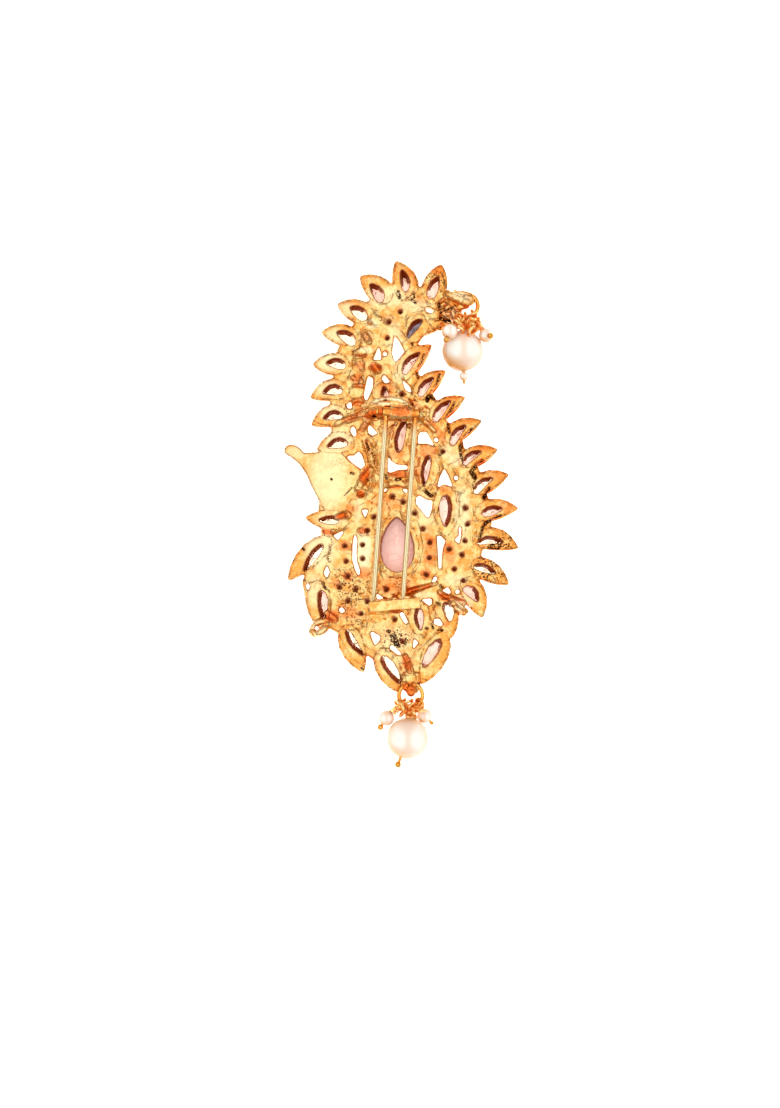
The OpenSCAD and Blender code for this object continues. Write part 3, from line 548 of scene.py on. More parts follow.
# Black pits and scratches: both ends on the photograph, width in pixels.
darkMarks = [
    (396, 480, 400, 479.5, 2.6), (344.5, 495.5, 352, 487.5, 0.8), (351, 473, 353.5, 474, 1.8),
    (331, 479, 332, 479.5, 1.6), (373, 417, 375.5, 418, 2.2), (441, 585.5, 443.5, 588, 2.0),
    (457.5, 591, 458.5, 592, 2.2), (436.5, 602.5, 440, 604.5, 1.8), (437.5, 630, 442.5, 630.5, 1.5),
    (393, 636, 397, 645, 4.5), (396, 640, 399, 646, 3.0), (401, 640, 405, 643, 3.0),
    (387.5, 630.5, 389.5, 632, 2.4), (426, 492, 431, 496, 2.6), (385.5, 475, 386.5, 479, 1.6),
    (430.5, 396.5, 434, 399, 2.2), (361.5, 668, 364, 669, 1.6), (302.5, 548, 304.5, 550, 1.8),
    (407.5, 687, 409, 684, 1.4), (418, 683, 419.5, 685, 2.0), (438.5, 305, 440.5, 313, 2.6),
    (444, 311.5, 455, 307.5, 1.6), (440, 318, 446, 322, 2.8), (447, 321, 452, 322, 2.2),
    (436.5, 416, 437.5, 421, 2.2), (398, 292, 399.5, 298, 2.4), (412, 300, 415.5, 302.5, 1.8),
    (414, 293, 414.5, 298, 1.4), (412, 343, 412.5, 345, 1.6), (428, 396, 427, 401, 2.6),
    (412.5, 405, 411, 403, 1.6), (420.5, 415, 421.5, 416, 1.6), (366, 441, 369, 450, 1.1),
    (372, 452, 374, 460, 1.1), (358, 485, 359, 487, 1.4), (366, 480, 369, 480.5, 1.6),
    (426, 628, 427.5, 628.5, 2.0), (431.5, 624, 433.5, 628, 1.4), (323, 582, 324, 584, 1.6),
    (324.5, 586.5, 326, 588.5, 2.0), (375, 572, 376, 578, 0.8), (495, 543, 489, 546, 2.0),
    (485, 523, 497, 517, 2.0), (484, 498, 489, 491, 3.4), (461, 447, 470, 432, 2.2),
    (471, 472, 482, 461, 2.4), (474, 474, 475, 478, 3.0), (449, 430, 449.5, 433, 1.6),
    (452, 444, 453, 441, 1.6), (384, 402, 386.5, 401.5, 1.2), (440, 455, 442, 453, 1.6),
]

# Lumps of solder and wire ends on the back, as chains of places: pixel, height and radius in millimetres.
solderLumps = [
    (354, 417, 4.0, 0.7, 376, 411, 4.9, 1.2), (371, 413.5, 4.8, 1.25, 380.5, 412, 5.5, 1.05),
    (361, 431, 3.8, 0.55, 371, 418, 4.4, 0.75), (337, 424, 3.8, 0.6, 355, 416.5, 4.1, 0.75),
    (366, 420, 4.2, 0.7, 377, 418.5, 4.3, 0.6), (421.5, 412, 5.4, 0.85, 424, 418, 4.6, 0.7),
    (424, 420, 4.1, 0.6, 434, 431, 4.0, 0.45), (358.5, 488, 4.2, 0.75, 364, 478, 4.6, 0.95,
    370.5, 469.5, 4.3, 0.7), (360, 494, 4.2, 0.8, 363, 493, 4.2, 0.7), (337, 517.5, 3.9, 0.65,
    348, 515, 4.1, 0.8), (323, 532.5, 3.7, 0.5, 333, 531, 3.8, 0.55), (406, 592.5, 3.7, 0.6,
    422, 588, 3.8, 0.5), (422, 588, 3.8, 0.45, 436, 583, 3.7, 0.35), (440, 592, 3.8, 0.5,
    450, 598, 3.9, 0.6), (450, 598, 3.9, 0.55, 463, 602, 3.9, 0.4), (405, 656, 3.9, 0.5, 409, 663, 4.1, 0.6,
    410, 672, 4.2, 0.7), (447, 295, 4.6, 0.8, 455, 299, 4.9, 0.95, 466, 303.5, 5.0, 0.95,
    470, 303, 4.9, 0.75), (453, 294, 4.9, 0.35, 463, 294, 5.0, 0.4, 471, 296, 4.9, 0.35,
    474, 302, 4.8, 0.4), (459, 308, 4.5, 0.7, 466, 307, 4.7, 0.6), (405, 682, 4.2, 0.8, 411, 692, 4.2, 0.9),
    (411, 692, 4.2, 0.85, 415, 686, 4.2, 0.6), (463, 299, 4.9, 0.75, 471, 299.5, 4.9, 0.65),
    (461, 320, 4.6, 0.8, 464, 331, 5.2, 0.9, 472, 332, 5.4, 0.85, 477, 324, 5.0, 0.8), (466, 322, 4.8, 0.55,
    474, 320, 4.9, 0.6), (402, 707, 4.4, 0.75, 409, 711, 4.8, 0.85, 416, 707, 4.5, 0.7),
    (436, 324, 3.8, 0.7, 440, 328, 3.7, 0.6), (440, 302, 4.0, 0.45, 446, 300, 4.2, 0.5),
    (440, 315, 4.2, 0.3, 447, 305, 4.4, 0.3), (446, 316, 4.2, 0.28, 455, 311, 4.4, 0.28),
    (370, 407, 5.2, 0.45, 375, 402.5, 5.7, 0.55, 383, 400.5, 6.1, 0.6, 392, 400.3, 6.3, 0.6,
    400, 402, 6.3, 0.55, 407, 405, 6.2, 0.5, 410, 409, 6.0, 0.45), (371, 409, 5.0, 0.3,
    380, 406.6, 5.7, 0.3, 392, 406, 6.1, 0.3, 402, 407.5, 6.3, 0.3), (450, 599, 4.2, 0.5,
    466, 611, 4.1, 0.52), (311, 631, 4.2, 0.5, 313.5, 625.5, 4.3, 0.5, 319, 621.5, 4.4, 0.5,
    326.5, 620, 4.4, 0.55), (326.5, 620, 4.4, 0.5, 329, 624.5, 4.3, 0.5, 324, 629.5, 4.2, 0.5,
    317, 633.5, 4.2, 0.5, 311, 631, 4.2, 0.5), (452, 312, 4.4, 0.6, 455, 320, 4.3, 0.5),
    (446, 302, 4.3, 0.5, 456, 309, 4.7, 0.6), (438, 309, 4.1, 0.45, 449, 318, 4.2, 0.5),
    (441, 322, 3.9, 0.4, 450, 323, 4.0, 0.45), (404, 683, 4.5, 0.7, 406, 688, 4.4, 0.6),
    (414, 684, 4.5, 0.7, 416, 690, 4.2, 0.55), (372, 609.5, 3.7, 0.5, 396, 609.5, 3.8, 0.5),
    (327, 613, 4.0, 0.65, 336, 619, 4.0, 0.6), (395, 413, 7.1, 0.5, 398, 415, 7.1, 0.5),
    (405, 411, 7.1, 0.55, 408, 415, 7.1, 0.5), (370, 322, 3.9, 0.55, 379, 319, 4.0, 0.6),
    (364, 334, 4.0, 0.7, 369, 342, 4.0, 0.6), (356, 358, 3.9, 0.45, 364, 355.5, 4.0, 0.5),
    (358, 364, 4.0, 0.7, 362, 369, 4.0, 0.6), (354, 378, 3.9, 0.6, 360, 381, 3.9, 0.65),
    (355, 387, 3.9, 0.45, 362, 386, 3.9, 0.5), (354, 402, 3.9, 0.6, 361, 401, 3.9, 0.6),
    (374, 366, 4.2, 0.8, 378, 371, 4.2, 0.75),
]
lumpSteps = {"spacing": 0.4, "least": 2}  # balls along a chain: spacing in radii, and the fewest steps

# Saddle of solder over the hinge's knuckle, between the wires: local places and radii in millimetres.
saddleSet = {"u": 400.8, "v": 414, "turn": -3.9, "axisMm": 6.0, "halfMm": 2.1, "innerMm": 1.14,
             "outerMm": 1.55, "lipMm": 5.3, "footMm": 3.7, "steps": 14}


def linksOf(chain, count):
    # a chain is a row of places with this many numbers each; a link is two places that follow each other
    stops = [chain[i:i + count] for i in range(0, len(chain), count)]
    return list(zip(stops[:-1], stops[1:]))


def addSaddle(work):
    setup = saddleSet
    inner, outer, axis = setup["innerMm"], setup["outerMm"], setup["axisMm"]
    turns = [math.pi * i / setup["steps"] for i in range(setup["steps"] + 1)]
    profile = [(-outer, setup["lipMm"])] + [(-outer * math.cos(t), axis + outer * math.sin(t)) for t in turns]
    profile += [(outer, setup["footMm"]), (inner, setup["footMm"])]
    profile += [(inner * math.cos(t), axis + inner * math.sin(t)) for t in turns] + [(-inner, setup["lipMm"])]
    turned = Matrix.Translation(placeAt(setup["u"], setup["v"]))
    turned = turned @ Matrix.Rotation(math.radians(setup["turn"]), 4, "Z")
    rings = []
    for side in (-setup["halfMm"], setup["halfMm"]):
        rings.append([work.verts.new(turned @ Vector((side * mm, y * mm, z * mm))) for y, z in profile])
    work.faces.new(rings[0])
    work.faces.new(list(reversed(rings[1])))
    for i in range(len(profile)):
        k = (i + 1) % len(profile)
        work.faces.new([rings[0][k], rings[0][i], rings[1][i], rings[1][k]])
    bmesh.ops.recalc_face_normals(work, faces=work.faces)


def lumpsMesh():
    work = bmesh.new()
    addSaddle(work)
    for chain in solderLumps:
        for (*first, firstR), (*second, secondR) in linksOf(chain, 4):
            start, end = placeAt(*first), placeAt(*second)
            spacing = min(firstR, secondR) * lumpSteps["spacing"] * mm
            steps = max(lumpSteps["least"], int((end - start).length / spacing))
            for t in [i / steps for i in range(steps + 1)]:
                place, radius = Matrix.Translation(start.lerp(end, t)), (firstR + (secondR - firstR) * t) * mm
                bmesh.ops.create_icosphere(work, subdivisions=2, radius=radius, matrix=place)
    mesh = bpy.data.meshes.new("lumps")
    work.to_mesh(mesh)
    work.free()
    return mesh


def ellipseMask(table, u, v):
    # full inside half of each patch, and gone a little past its edge
    mask = np.zeros_like(u)
    for strength, patches in table.items():
        for midU, midV, halfLong, halfWide, *turn in patches:
            c, s = math.cos(math.radians(sum(turn))), math.sin(math.radians(sum(turn)))
            along = ((u - midU) * c - (v - midV) * s) / halfLong
            across = ((u - midU) * s + (v - midV) * c) / halfWide
            mask = np.maximum(mask, strength * (1 - softStep(0.45, 1.15, np.hypot(along, across))))
    return mask


def lineDistance(links, u, v):
    # pixels from the nearest of the line's stretches
    best = np.full_like(u, 1e9)
    for (u0, v0), (u1, v1) in links:
        du, dv = u1 - u0, v1 - v0
        t = np.clip(((u - u0) * du + (v - v0) * dv) / max(du * du + dv * dv, 1e-9), 0, 1)
        best = np.minimum(best, np.hypot(u - u0 - t * du, v - v0 - t * dv))
    return best


def shifted(field, steps, **border):
    # the field moved by each of these steps of one cell
    wide = np.pad(field, 1, **border)
    high, long = field.shape
    return [wide[1 + a:1 + a + high, 1 + b:1 + b + long] for a, b in steps]


besideSteps, slantSteps = [(0, -1), (0, 1), (-1, 0), (1, 0)], [(-1, -1), (-1, 1), (1, -1), (1, 1)]


def spread(field, how):
    # combines each cell with the four beside it
    return how(np.stack(shifted(field, besideSteps, mode="edge") + [field]), axis=0)


def distanceInside(solid, gridMm, reachMm):
    # millimetres from the nearest empty cell, up to the reach
    slantMm = gridMm * 1.4142  # a step to the next corner
    far = np.where(solid, reachMm, 0.0)
    for _ in range(int(reachMm / gridMm) + 1):
        straight, slant = [np.minimum.reduce(shifted(far, steps)) for steps in (besideSteps, slantSteps)]
        far = np.where(solid, np.minimum(far, np.minimum(straight + gridMm, slant + slantMm)), 0.0)
    return far


def noiseField(x, y, sizeMm, seed, depthMm):
    # smooth noise with features of this size, as high and as low as the depth
    third = seed * 0.37  # a slice of the noise for each seed
    flat = [noise.noise((a / sizeMm + seed, b / sizeMm - seed, third)) for a, b in zip(x.ravel(), y.ravel())]
    return np.array(flat).reshape(x.shape) * depthMm


def blurred(field, cells):
    # bell-shaped average along both directions of the grid
    reach = int(cells * 2.5)
    weights = np.exp(-0.5 * (np.arange(-reach, reach + 1) / cells) ** 2)
    for axis in (0, 1):
        wide = np.pad(field, [(reach, reach) if a == axis else (0, 0) for a in (0, 1)])
        width = field.shape[axis]
        shares = enumerate(weights / weights.sum())
        field = sum(w * np.take(wide, range(i, i + width), axis) for i, w in shares)
    return field


def sampled(field, gx, gy):
    ix = np.clip(np.floor(gx).astype(int), 0, field.shape[1] - 2)
    iy = np.clip(np.floor(gy).astype(int), 0, field.shape[0] - 2)
    fx, fy = np.clip(gx - ix, 0, 1), np.clip(gy - iy, 0, 1)
    top = field[iy, ix] * (1 - fx) + field[iy, ix + 1] * fx
    low = field[iy + 1, ix] * (1 - fx) + field[iy + 1, ix + 1] * fx
    return top * (1 - fy) + low * fy


def shapeOf(meshes):
    # the meshes together, for rays to be cast at
    places, faces = [], []
    for mesh in meshes:
        faces += [tuple(len(places) + i for i in p.vertices) for p in mesh.polygons]
        places += [v.co.copy() for v in mesh.vertices]
    return BVHTree.FromPolygons(places, faces)


def heightsOver(mesh, xs, ys):
    # looks down on the mesh along the grid; -1 where nothing is hit
    tree = shapeOf([mesh])
    heights = np.full((len(ys), len(xs)), -1.0)
    for row, column in np.ndindex(heights.shape):
        eye = Vector((xs[column] * mm, ys[row] * mm, reliefSet["aboveM"]))
        hit = tree.ray_cast(eye, Vector((0, 0, -1)))[0]
        if hit:
            heights[row, column] = hit.z / mm
    return heights


def outsideOf(solid):
    # empty cells that join the grid's border
    outside = np.zeros_like(solid)
    outside[0, :] = True
    grown = (spread(outside, np.max) > 0) & ~solid
    while (grown != outside).any():
        outside = grown
        grown = (spread(outside, np.max) > 0) & ~solid
    return outside


def reliefOf(mesh):
    # works out the relief and the masks at each cell of a fine grid over the casting
    setup, grid = reliefSet, reliefSet["gridMm"]
    spots = vectorsOf(mesh, "co") / mm
    low, high = spots.min(0) - setup["marginMm"], spots.max(0) + setup["marginMm"]
    xs, ys = np.arange(low[0], high[0], grid), np.arange(low[1], high[1], grid)
    x, y = np.meshgrid(xs, ys)
    u, v = pixelOf(x, y)
    heights = heightsOver(mesh, xs, ys)
    solid = heights > castingSet["lowestMm"]
    edge = distanceInside(solid, grid, setup["edgeReachMm"])
    rim = distanceInside(~outsideOf(solid), grid, setup["rimReachMm"])
    tables = (paleHighlightPatches, solderPatches, sandyPatches, birdPatches, medallionPatches)
    pale, solder, sandy, bird, medallion = [ellipseMask(table, u, v) for table in tables]
    groove = np.zeros_like(x)
    for (depth, width), lines in creases.items():
        for line in lines:
            near = lineDistance(linksOf(line, 2), u, v) * mmPerPixel
            groove = np.maximum(groove, depth * np.exp(-(near / (setup["creaseWidthMm"] * width)) ** 2))
    marks = np.zeros_like(x)
    for u0, v0, u1, v1, width in darkMarks:
        near = lineDistance([((u0, v0), (u1, v1))], u, v)
        marks = np.maximum(marks, 1 - softStep(width * setup["markCore"], width * setup["markReach"], near))
    flat = solid & (heights < castingSet["highestMm"])
    cells = setup["levelBlurMm"] / grid
    level = blurred(np.where(flat, heights, 0.0), cells)
    level /= np.maximum(blurred(flat.astype(float), cells), 1e-6)
    lift = (level - heights) * setup["levelShare"] * (1 - bird) * (1 - medallion)
    lumps, knobs, grit = [noiseField(x, y, *setup[name]) for name in ("lumps", "knobs", "grit")]
    calm = np.maximum(bird * setup["birdCalm"], pale * setup["paleCalm"])
    leaf = 1 - softStep(*setup["leafMm"], rim)
    lift += (lumps + knobs) * (1 - calm) * (1 - leaf * setup["leafCalm"])
    lift += grit * sandy + np.abs(knobs) * solder * setup["solderKnobs"]
    lift -= groove * setup["creaseDepthMm"] + marks * setup["markDepthMm"]
    lift -= setup["edgeDropMm"] * (1 - softStep(0, setup["edgeWidthMm"], edge))
    fall = np.clip(1 - rim / setup["rimWidthMm"], 0, 1)
    lift -= setup["rimDropMm"] * (1 - np.sqrt(1 - fall ** 2)) * (1 - bird * setup["birdRim"])
    lift = np.where(flat, lift, 0.0)
    for _ in range(setup["spillTurns"]):  # carries the values past the edges, so that walls take them too
        known = flat.astype(float)
        total, count = spread(lift * known, np.sum), spread(known, np.sum)
        lift = np.where(flat, lift, np.where(count > 0, total / np.maximum(count, 1), 0.0))
        flat = flat | (count > 0)
    print("casting: relief grid", x.shape)
    fields = {"lift": lift, "heights": heights, "rim": rim, "edge": edge, "pale": pale, "solder": solder,
              "sandy": sandy, "groove": groove, "marks": marks}
    return fields, low


def makeCasting():
    setup = castingSet
    core = meshObject("castingCore", mergedCopy("casting", "castingCore"))
    relief, low = reliefOf(core.data)
    work = bmesh.new()
    work.from_mesh(core.data)
    lumps = lumpsMesh()
    work.from_mesh(lumps)
    work.to_mesh(core.data)
    work.free()
    bpy.data.meshes.remove(lumps)
    remesh = core.modifiers.new("voxels", "REMESH")
    remesh.mode = "VOXEL"
    remesh.voxel_size = setup["voxelMm"] * mm
    soften = core.modifiers.new("soften", "SMOOTH")
    soften.factor = setup["smoothShare"]
    soften.iterations = setup["smoothTurns"]
    mesh = plainMesh(core, "castingSkin")
    bpy.data.objects.remove(core)
    spots = vectorsOf(mesh, "co") / mm
    gx, gy = [(spots[:, i] - low[i]) / reliefSet["gridMm"] for i in (0, 1)]
    seen = {name: sampled(field, gx, gy) for name, field in relief.items()}
    above = softStep(setup["lowestMm"], setup["plateMm"], spots[:, 2])
    reach = 1 - softStep(setup["highestMm"], setup["highestMm"] + setup["fadeMm"], spots[:, 2])
    spots[:, 2] += seen["lift"] * above * reach
    high = np.nonzero(spots[:, 2] > setup["highestMm"])[0]
    waves = np.array([noise.noise(Vector(spots[i]) / setup["solderWaveMm"]) for i in high])
    spots[high] += vectorsOf(mesh, "normal")[high] * (waves * setup["solderMm"])[:, None]
    moveVertices(mesh, spots)
    addMasks(mesh, seen)
    print("casting: skin of", len(mesh.polygons), "faces")
    return mesh


def wallDirections(u, v):
    # the level direction that a wall with painted shade looks in, for each place
    turn = np.where(u < photo["midU"], maskSet["leftTurn"], maskSet["rightTurn"])
    for midU, midV, reach, angle in wallTurns:
        turn = np.where(np.hypot(u - midU, v - midV) < reach, angle, turn)
    turn = np.radians(turn)
    return np.stack([np.cos(turn), np.sin(turn)], 1)


def neighbourMean(mesh, values, turns):
    # averages each vertex's value with those along its edges
    ends = np.zeros(len(mesh.edges) * 2, np.int32)
    mesh.edges.foreach_get("vertices", ends)
    first, second = ends[0::2], ends[1::2]
    count = np.bincount(ends, minlength=len(values)) + 1.0
    for _ in range(turns):
        total = values + np.bincount(first, values[second], len(values))
        total += np.bincount(second, values[first], len(values))
        values = total / count
    return values


# Where the masks lie: heights, distances and widths in millimetres, and pairs of values to fade between.
maskSet = {
    # walls round the windows, with painted shade on one side, and a lip there that leans in over the stone
    "wallUp": 0.6, "wallFromMm": 1.0, "wallToMm": 4.4, "wallMm": 0.35, "lookDownMm": 3.0, "wallTurns": 5,
    "leftTurn": -62.0, "rightTurn": -92.0, "facing": (-0.4, 0.65), "wallGain": 1.5, "wallShare": 0.28,
    "lipMm": 0.7, "lipLowMm": 2.35, "lipHighMm": 3.95, "lipFootMm": 1.9,
    # the middle window: its place and reach in pixels, its share of the lip, and its ring of painted shade
    "middleU": 398, "middleV": 541, "middlePixels": (22, 32), "middleLip": 0.25, "ringMm": (0.14, 0.42),
    # what counts as the back, and the thin lines of painted shade in grooves and along outlines
    "backUp": (0.15, 0.5), "backMm": (2.2, 3.0), "deep": (0.3, 0.8), "deepShare": 0.9, "lineUp": (0.1, 0.4),
    "rimLineMm": (0.05, 0.3), "rimLine": 0.6, "edgeLineMm": (0.04, 0.2), "edgeLine": 0.5, "solidMm": 0.2,
    # the painted orange shade along the rim, wider and stronger on the right, away from the light
    "rightU": (405, 440), "toneFromMm": 0.4, "toneToMm": 2.6, "toneWiderMm": 1.0, "leftTone": 0.75,
}


def wallMask(mesh, spots, normals):
    # steep places with a stone beside and below them
    setup = maskSet
    stones = shapeOf([piece.data for name, piece in nodes.items() if name.startswith("stone")])
    wall = np.zeros(len(spots))
    steep = (np.abs(normals[:, 2]) < setup["wallUp"]) & (spots[:, 2] > setup["wallFromMm"])
    for i in np.nonzero(steep & (spots[:, 2] < setup["wallToMm"]))[0]:
        side = Vector((normals[i, 0], normals[i, 1], 0.0)).normalized() * setup["wallMm"]
        start = (Vector(spots[i]) + side) * mm + Vector((0, 0, setup["lookDownMm"] * mm))
        if stones.ray_cast(start, Vector((0, 0, -1)))[0]:
            wall[i] = 1.0
    return neighbourMean(mesh, wall, setup["wallTurns"])


def addMasks(mesh, seen):
    # red-brown oxide on the window walls with painted shade on one side; painted shade in grooves and along
    # edges, and dark pits; solder, pale painted highlight and sandy places on the back
    setup = maskSet
    spots, normals = vectorsOf(mesh, "co") / mm, vectorsOf(mesh, "normal")
    u, v = pixelOf(spots[:, 0], spots[:, 1])
    fromMiddle = softStep(*setup["middlePixels"], np.hypot(u - setup["middleU"], v - setup["middleV"]))
    wall = wallMask(mesh, spots, normals)
    facing = softStep(*setup["facing"], (wallDirections(u, v) * normals[:, :2]).sum(1))
    depth = (setup["lipHighMm"] - spots[:, 2]) / (setup["lipHighMm"] - setup["lipLowMm"])
    lean = np.clip(depth, 0, 1) * softStep(setup["lipFootMm"], setup["lipLowMm"], spots[:, 2])
    lean *= wall * facing * setup["lipMm"] * (setup["middleLip"] + (1 - setup["middleLip"]) * fromMiddle)
    spots[:, :2] += normals[:, :2] * lean[:, None]
    moveVertices(mesh, spots)
    # red-brown oxide on every wall, with painted shade on the side that faces the given way
    wall = np.clip(wall * setup["wallGain"], 0, 1) * (setup["wallShare"] + (1 - setup["wallShare"]) * facing)
    onBack = softStep(*setup["backUp"], normals[:, 2]) * softStep(*setup["backMm"], spots[:, 2])
    drawn = (spots[:, 2] > setup["backMm"][0]) * softStep(*setup["lineUp"], normals[:, 2])
    # a ring of painted shade round the middle window's edge
    ring = (1 - softStep(*setup["ringMm"], seen["edge"])) * (1 - fromMiddle) * drawn
    # thin lines of painted shade along the outer rim and the window edges
    outline = np.maximum((1 - softStep(*setup["rimLineMm"], seen["rim"])) * setup["rimLine"],
                         (1 - softStep(*setup["edgeLineMm"], seen["edge"])) * setup["edgeLine"])
    outline *= drawn * (seen["heights"] > setup["solidMm"])
    # painted shade down in the grooves
    deep = softStep(*setup["deep"], seen["groove"]) * setup["deepShare"]
    right = softStep(*setup["rightU"], pixelOf(spots[:, 0], spots[:, 1])[0])
    # painted orange shade along the rim
    tone = 1 - softStep(setup["toneFromMm"], setup["toneToMm"] + setup["toneWiderMm"] * right, seen["rim"])
    masks = {
        "wall": np.maximum(wall, ring),
        "shadeAndPits": np.maximum(np.maximum(deep, seen["marks"]) * onBack, outline),
        "solder": seen["solder"] * onBack, "pale": seen["pale"] * onBack, "pits": seen["sandy"] * onBack,
        "rim": tone * (setup["leftTone"] + (1 - setup["leftTone"]) * right),
    }
    for name in maskNames:
        addAttribute(mesh, name, masks[name])


def bandsOf(mesh, count):
    # cuts the skin into bands down the brooch; each keeps the whole skin's normals, so no seam shows
    spots, normals = vectorsOf(mesh, "co"), vectorsOf(mesh, "normal")
    corners = np.zeros(len(mesh.loops), np.int32)
    mesh.loops.foreach_get("vertex_index", corners)
    sides = corners.reshape(-1, 4)
    middles = spots[sides].mean(1)[:, 1]
    limits = np.quantile(middles, np.linspace(0, 1, count + 1))
    values = {}
    for name in maskNames:
        values[name] = np.zeros(len(spots), np.float32)
        mesh.attributes[name].data.foreach_get("value", values[name])
    bands = []
    for k in range(count):
        own = sides[(middles >= limits[k]) & ((middles < limits[k + 1]) | (k == count - 1))]
        used, new = np.unique(own, return_inverse=True)
        band = bpy.data.meshes.new("castingBand")
        band.from_pydata(spots[used], [], new.reshape(-1, 4))
        band.shade_smooth()
        band.normals_split_custom_set_from_vertices(normals[used])
        for name in maskNames:
            addAttribute(band, name, values[name][used])
        bands.append(band)
    return bands


castingWhole = makeCasting()
for k, band in enumerate(bandsOf(castingWhole, castingSet["bands"])):
    casting = meshObject("castingSkin%d" % (k + 1), band, gildedCasting, smooth=False)
    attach(casting, "brooch")
    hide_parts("casting")
bpy.data.meshes.remove(castingWhole)


# Wire wraps and loops on the drops and rows of granules are made with Geometry Nodes.
def newTree(name, labels, steps, material):
    # has inputs with these labels, and its last step makes the shape, which gets plain and dressed
    tree = bpy.data.node_groups.new(name, "GeometryNodeTree")
    for label in labels:
        kind = {"Geometry": "Geometry", "Seed": "Int"}.get(label, "Float")
        tree.interface.new_socket(label, in_out="INPUT", socket_type="NodeSocket" + kind)
    tree.interface.new_socket("Geometry", in_out="OUTPUT", socket_type="NodeSocketGeometry")
    given = addNode(tree, {}, "NodeGroupInput", {}, {}).outputs
    have = {label: given[label] for label in labels}
    runSteps(tree, have, steps + [("shape", "plain", "shape"), ("shape", "dressed", "shape", material)])
    addNode(tree, have, "NodeGroupOutput", {}, {0: "shape"})
    return tree


def grown(tree, base, values, name):
    # runs the tree once on the base mesh and gives back a plain mesh
    holder = meshObject(name + "Holder", base, smooth=False)
    live = holder.modifiers.new("grow", "NODES")
    live.node_group = tree
    for item in tree.interface.items_tree:
        if item.in_out == "INPUT" and item.name in values:
            live[item.identifier] = values[item.name]
    mesh = plainMesh(holder, name)
    bpy.data.objects.remove(holder)
    return mesh


# Wire loops crowded above the large pearls: loop and wire radii, then pixels with heights, mm.
loopCrowds = {
    "upperLoops": (0.9, 0.27, [
        (461.5, 328, 5.9), (467, 332, 6.2), (474.5, 321.5, 5.2), (479, 328, 5.8), (470.5, 335, 7.0),
        (463, 321, 5.3), (469.5, 326, 6.6), (475.5, 331.5, 6.6), (457.5, 333, 6.6), (472, 316.5, 4.8)]),
    "lowerLoops": (0.85, 0.25, [
        (399, 704, 4.6), (405, 706, 5.0), (411.5, 706.5, 5.1), (418, 706, 4.7), (403, 711.5, 5.2),
        (413, 712.5, 5.5), (408, 701.5, 4.4), (396.5, 709, 4.4), (420, 710.5, 4.6)]),
    "upperKnot": (0.5, 0.42, [(466, 323.5, 4.6), (471.5, 327, 5.0), (466.5, 329, 5.2), (460.5, 325, 4.9)]),
    "lowerKnot": (0.45, 0.38, [(406.5, 708, 4.1), (412.5, 708, 4.2)]),
}
loopMaker = newTree("wireLoops", ("Geometry", "Loop Radius", "Wire", "Seed"), [
    ("ring", "circle", 20, "Loop Radius"),
    ("section", "circle", 8, "Wire"),
    ("loop", "tube", "ring", "section"),
    ("turn", "turned", (1.0, 0.0, -1.2), (1.9, 0.6, 1.2), "Seed"),  # each loop leans its own way
    ("shape", "placed", "Geometry", "loop", "turn", (1.0, 1.35, 1.0)),
], crowdWire)
for seed, (name, (loopR, wireR, points)) in enumerate(loopCrowds.items(), 4):
    base = bpy.data.meshes.new(name + "Base")
    base.from_pydata([placeAt(*point) for point in points], [], [])
    sizes = {"Loop Radius": loopR * mm, "Wire": wireR * mm, "Seed": seed}
    crowd = meshObject(name, grown(loopMaker, base, sizes, name))
    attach(crowd, "brooch")

# Wraps: start and end on the photograph with heights, turns, coil radii and wire radius, mm.
wraps = {
    "upperWrapMiddle": (465, 317, 3.9, 463.2, 330, 4.3, 5.0, 0.78, 0.62, 0.26),
    "upperWrapRight": (471, 315, 4.2, 480, 331, 5.2, 5.0, 0.72, 0.6, 0.26),
    "upperWrapLeft": (460, 315, 5.0, 454, 327, 7.0, 4.5, 0.6, 0.5, 0.23),
    "lowerWrapMiddle": (409.5, 704.5, 3.9, 408.6, 717, 4.0, 5.0, 0.72, 0.6, 0.26),
    "lowerWrapLeft": (402.5, 704, 3.8, 392.5, 713, 3.0, 4.5, 0.6, 0.5, 0.23),
    "lowerWrapRight": (417.5, 703, 3.6, 421, 709.5, 2.6, 3.5, 0.6, 0.5, 0.23),
}
wrapMaker = newTree("wireWrap", ("Geometry", "Turns", "Length", "Start Radius", "End Radius", "Wire"), [
    ("coil", "spiral", 14, "Turns", "Start Radius", "End Radius", "Length"),  # up along Z from the origin
    ("section", "circle", 8, "Wire"),
    ("shape", "tube", "coil", "section", True),
], crowdWire)
for name, (u0, v0, z0, u1, v1, z1, turns, startR, endR, wireR) in wraps.items():
    start, end = placeAt(u0, v0, z0), placeAt(u1, v1, z1)
    sizes = {"Turns": turns, "Length": (end - start).length, "Start Radius": startR * mm,
             "End Radius": endR * mm, "Wire": wireR * mm}
    coil = grown(wrapMaker, bpy.data.meshes.new(name + "Base"), sizes, name)
    coil.transform(Matrix.Translation(start) @ (end - start).to_track_quat("Z", "Y").to_matrix().to_4x4())
    wrap = meshObject(name, coil)
    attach(wrap, "brooch")

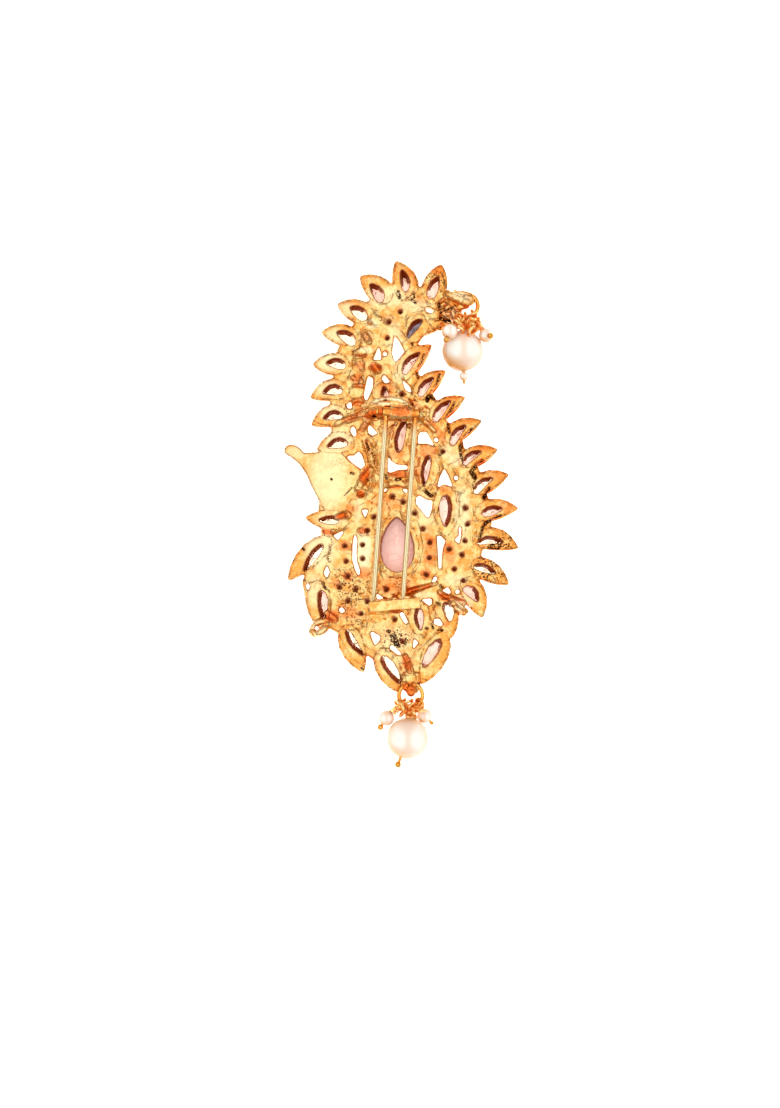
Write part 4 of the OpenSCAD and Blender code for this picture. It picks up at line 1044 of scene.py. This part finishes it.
# Granule rows: points on the photograph, height, spacing and radius, mm.
granuleRows = {
    "granulesStemLeft": ([(362, 441), (364, 448), (368, 457), (372, 466), (373, 476)], 3.9, 0.55, 0.24),
    "granulesStemRight": ([(368, 438), (371, 446), (374, 455), (377, 463), (378, 474)], 3.9, 0.55, 0.22),
    "granulesCrown": ([(430, 297), (436, 303), (439, 312), (438, 320)], 4.0, 0.5, 0.2),
}
rowMaker = newTree("granuleRow", ("Geometry", "Spacing", "Radius", "Seed"), [
    ("path", "path", "Geometry"),
    ("path", "even", "path", "Spacing"),
    ("grain", "ball", 2, "Radius"),
    ("size", "random", 0.75, 1.25, "Seed"),
    ("shape", "placed", "path", "grain", (0.0, 0.0, 0.0), "size"),
], gildedWire)
for seed, (name, (points, height, spacing, radius)) in enumerate(granuleRows.items()):
    base = bpy.data.meshes.new(name + "Base")
    edges = [(i, i + 1) for i in range(len(points) - 1)]
    base.from_pydata([placeAt(u, v, height) for u, v in points], edges, [])
    sizes = {"Spacing": spacing * mm, "Radius": radius * mm, "Seed": seed}
    row = meshObject(name, grown(rowMaker, base, sizes, name))
    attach(row, "brooch")
print("loops, wraps and granules: made")

# The floor is matt white paper, lit so evenly that it looks blank.
paperLook = {"shader": {"Base Color": "#FBFBFB", "Roughness": 0.9,
                        "Emission Color": "#FFFFFF", "Emission Strength": 1.05}}
halfFloor = 6.0  # metres
corners = [(x * halfFloor, y * halfFloor, 0) for x, y in ((-1, -1), (1, -1), (1, 1), (-1, 1))]
floorMesh = bpy.data.meshes.new("floor")
floorMesh.from_pydata(corners, [], [(0, 1, 2, 3)])
floor = meshObject("floor", floorMesh, newMaterial("matt white paper", paperLook), smooth=False)

# Soft studio light: the upward part of a direction, and how much light comes from there.
skyLevels = [(0.0, 0.7), (0.12, 0.4), (0.27, 0.27), (0.5, 0.62), (0.75, 1.15), (0.9, 1.5), (1.0, 1.55)]
world = bpy.data.worlds.new("studio")
bpy.context.scene.world = world
world.use_nodes = True
sky = world.node_tree
have = {}
runSteps(sky, have, [("up", "skyward"), ("up", "along", "up", (0.0, 0.0, 1.0)), ("light", "ramp", "up")])
stops = have["light"].node.color_ramp.elements
while len(stops) < len(skyLevels):
    stops.new(0.5)
for stop, (height, level) in zip(stops, skyLevels):
    stop.position = height
    stop.color = (level, level, level, 1.0)
giveAll(sky, have, sky.nodes["Background"], {"Color": "light", "Strength": 1.0})
print("stage: floor and light set")
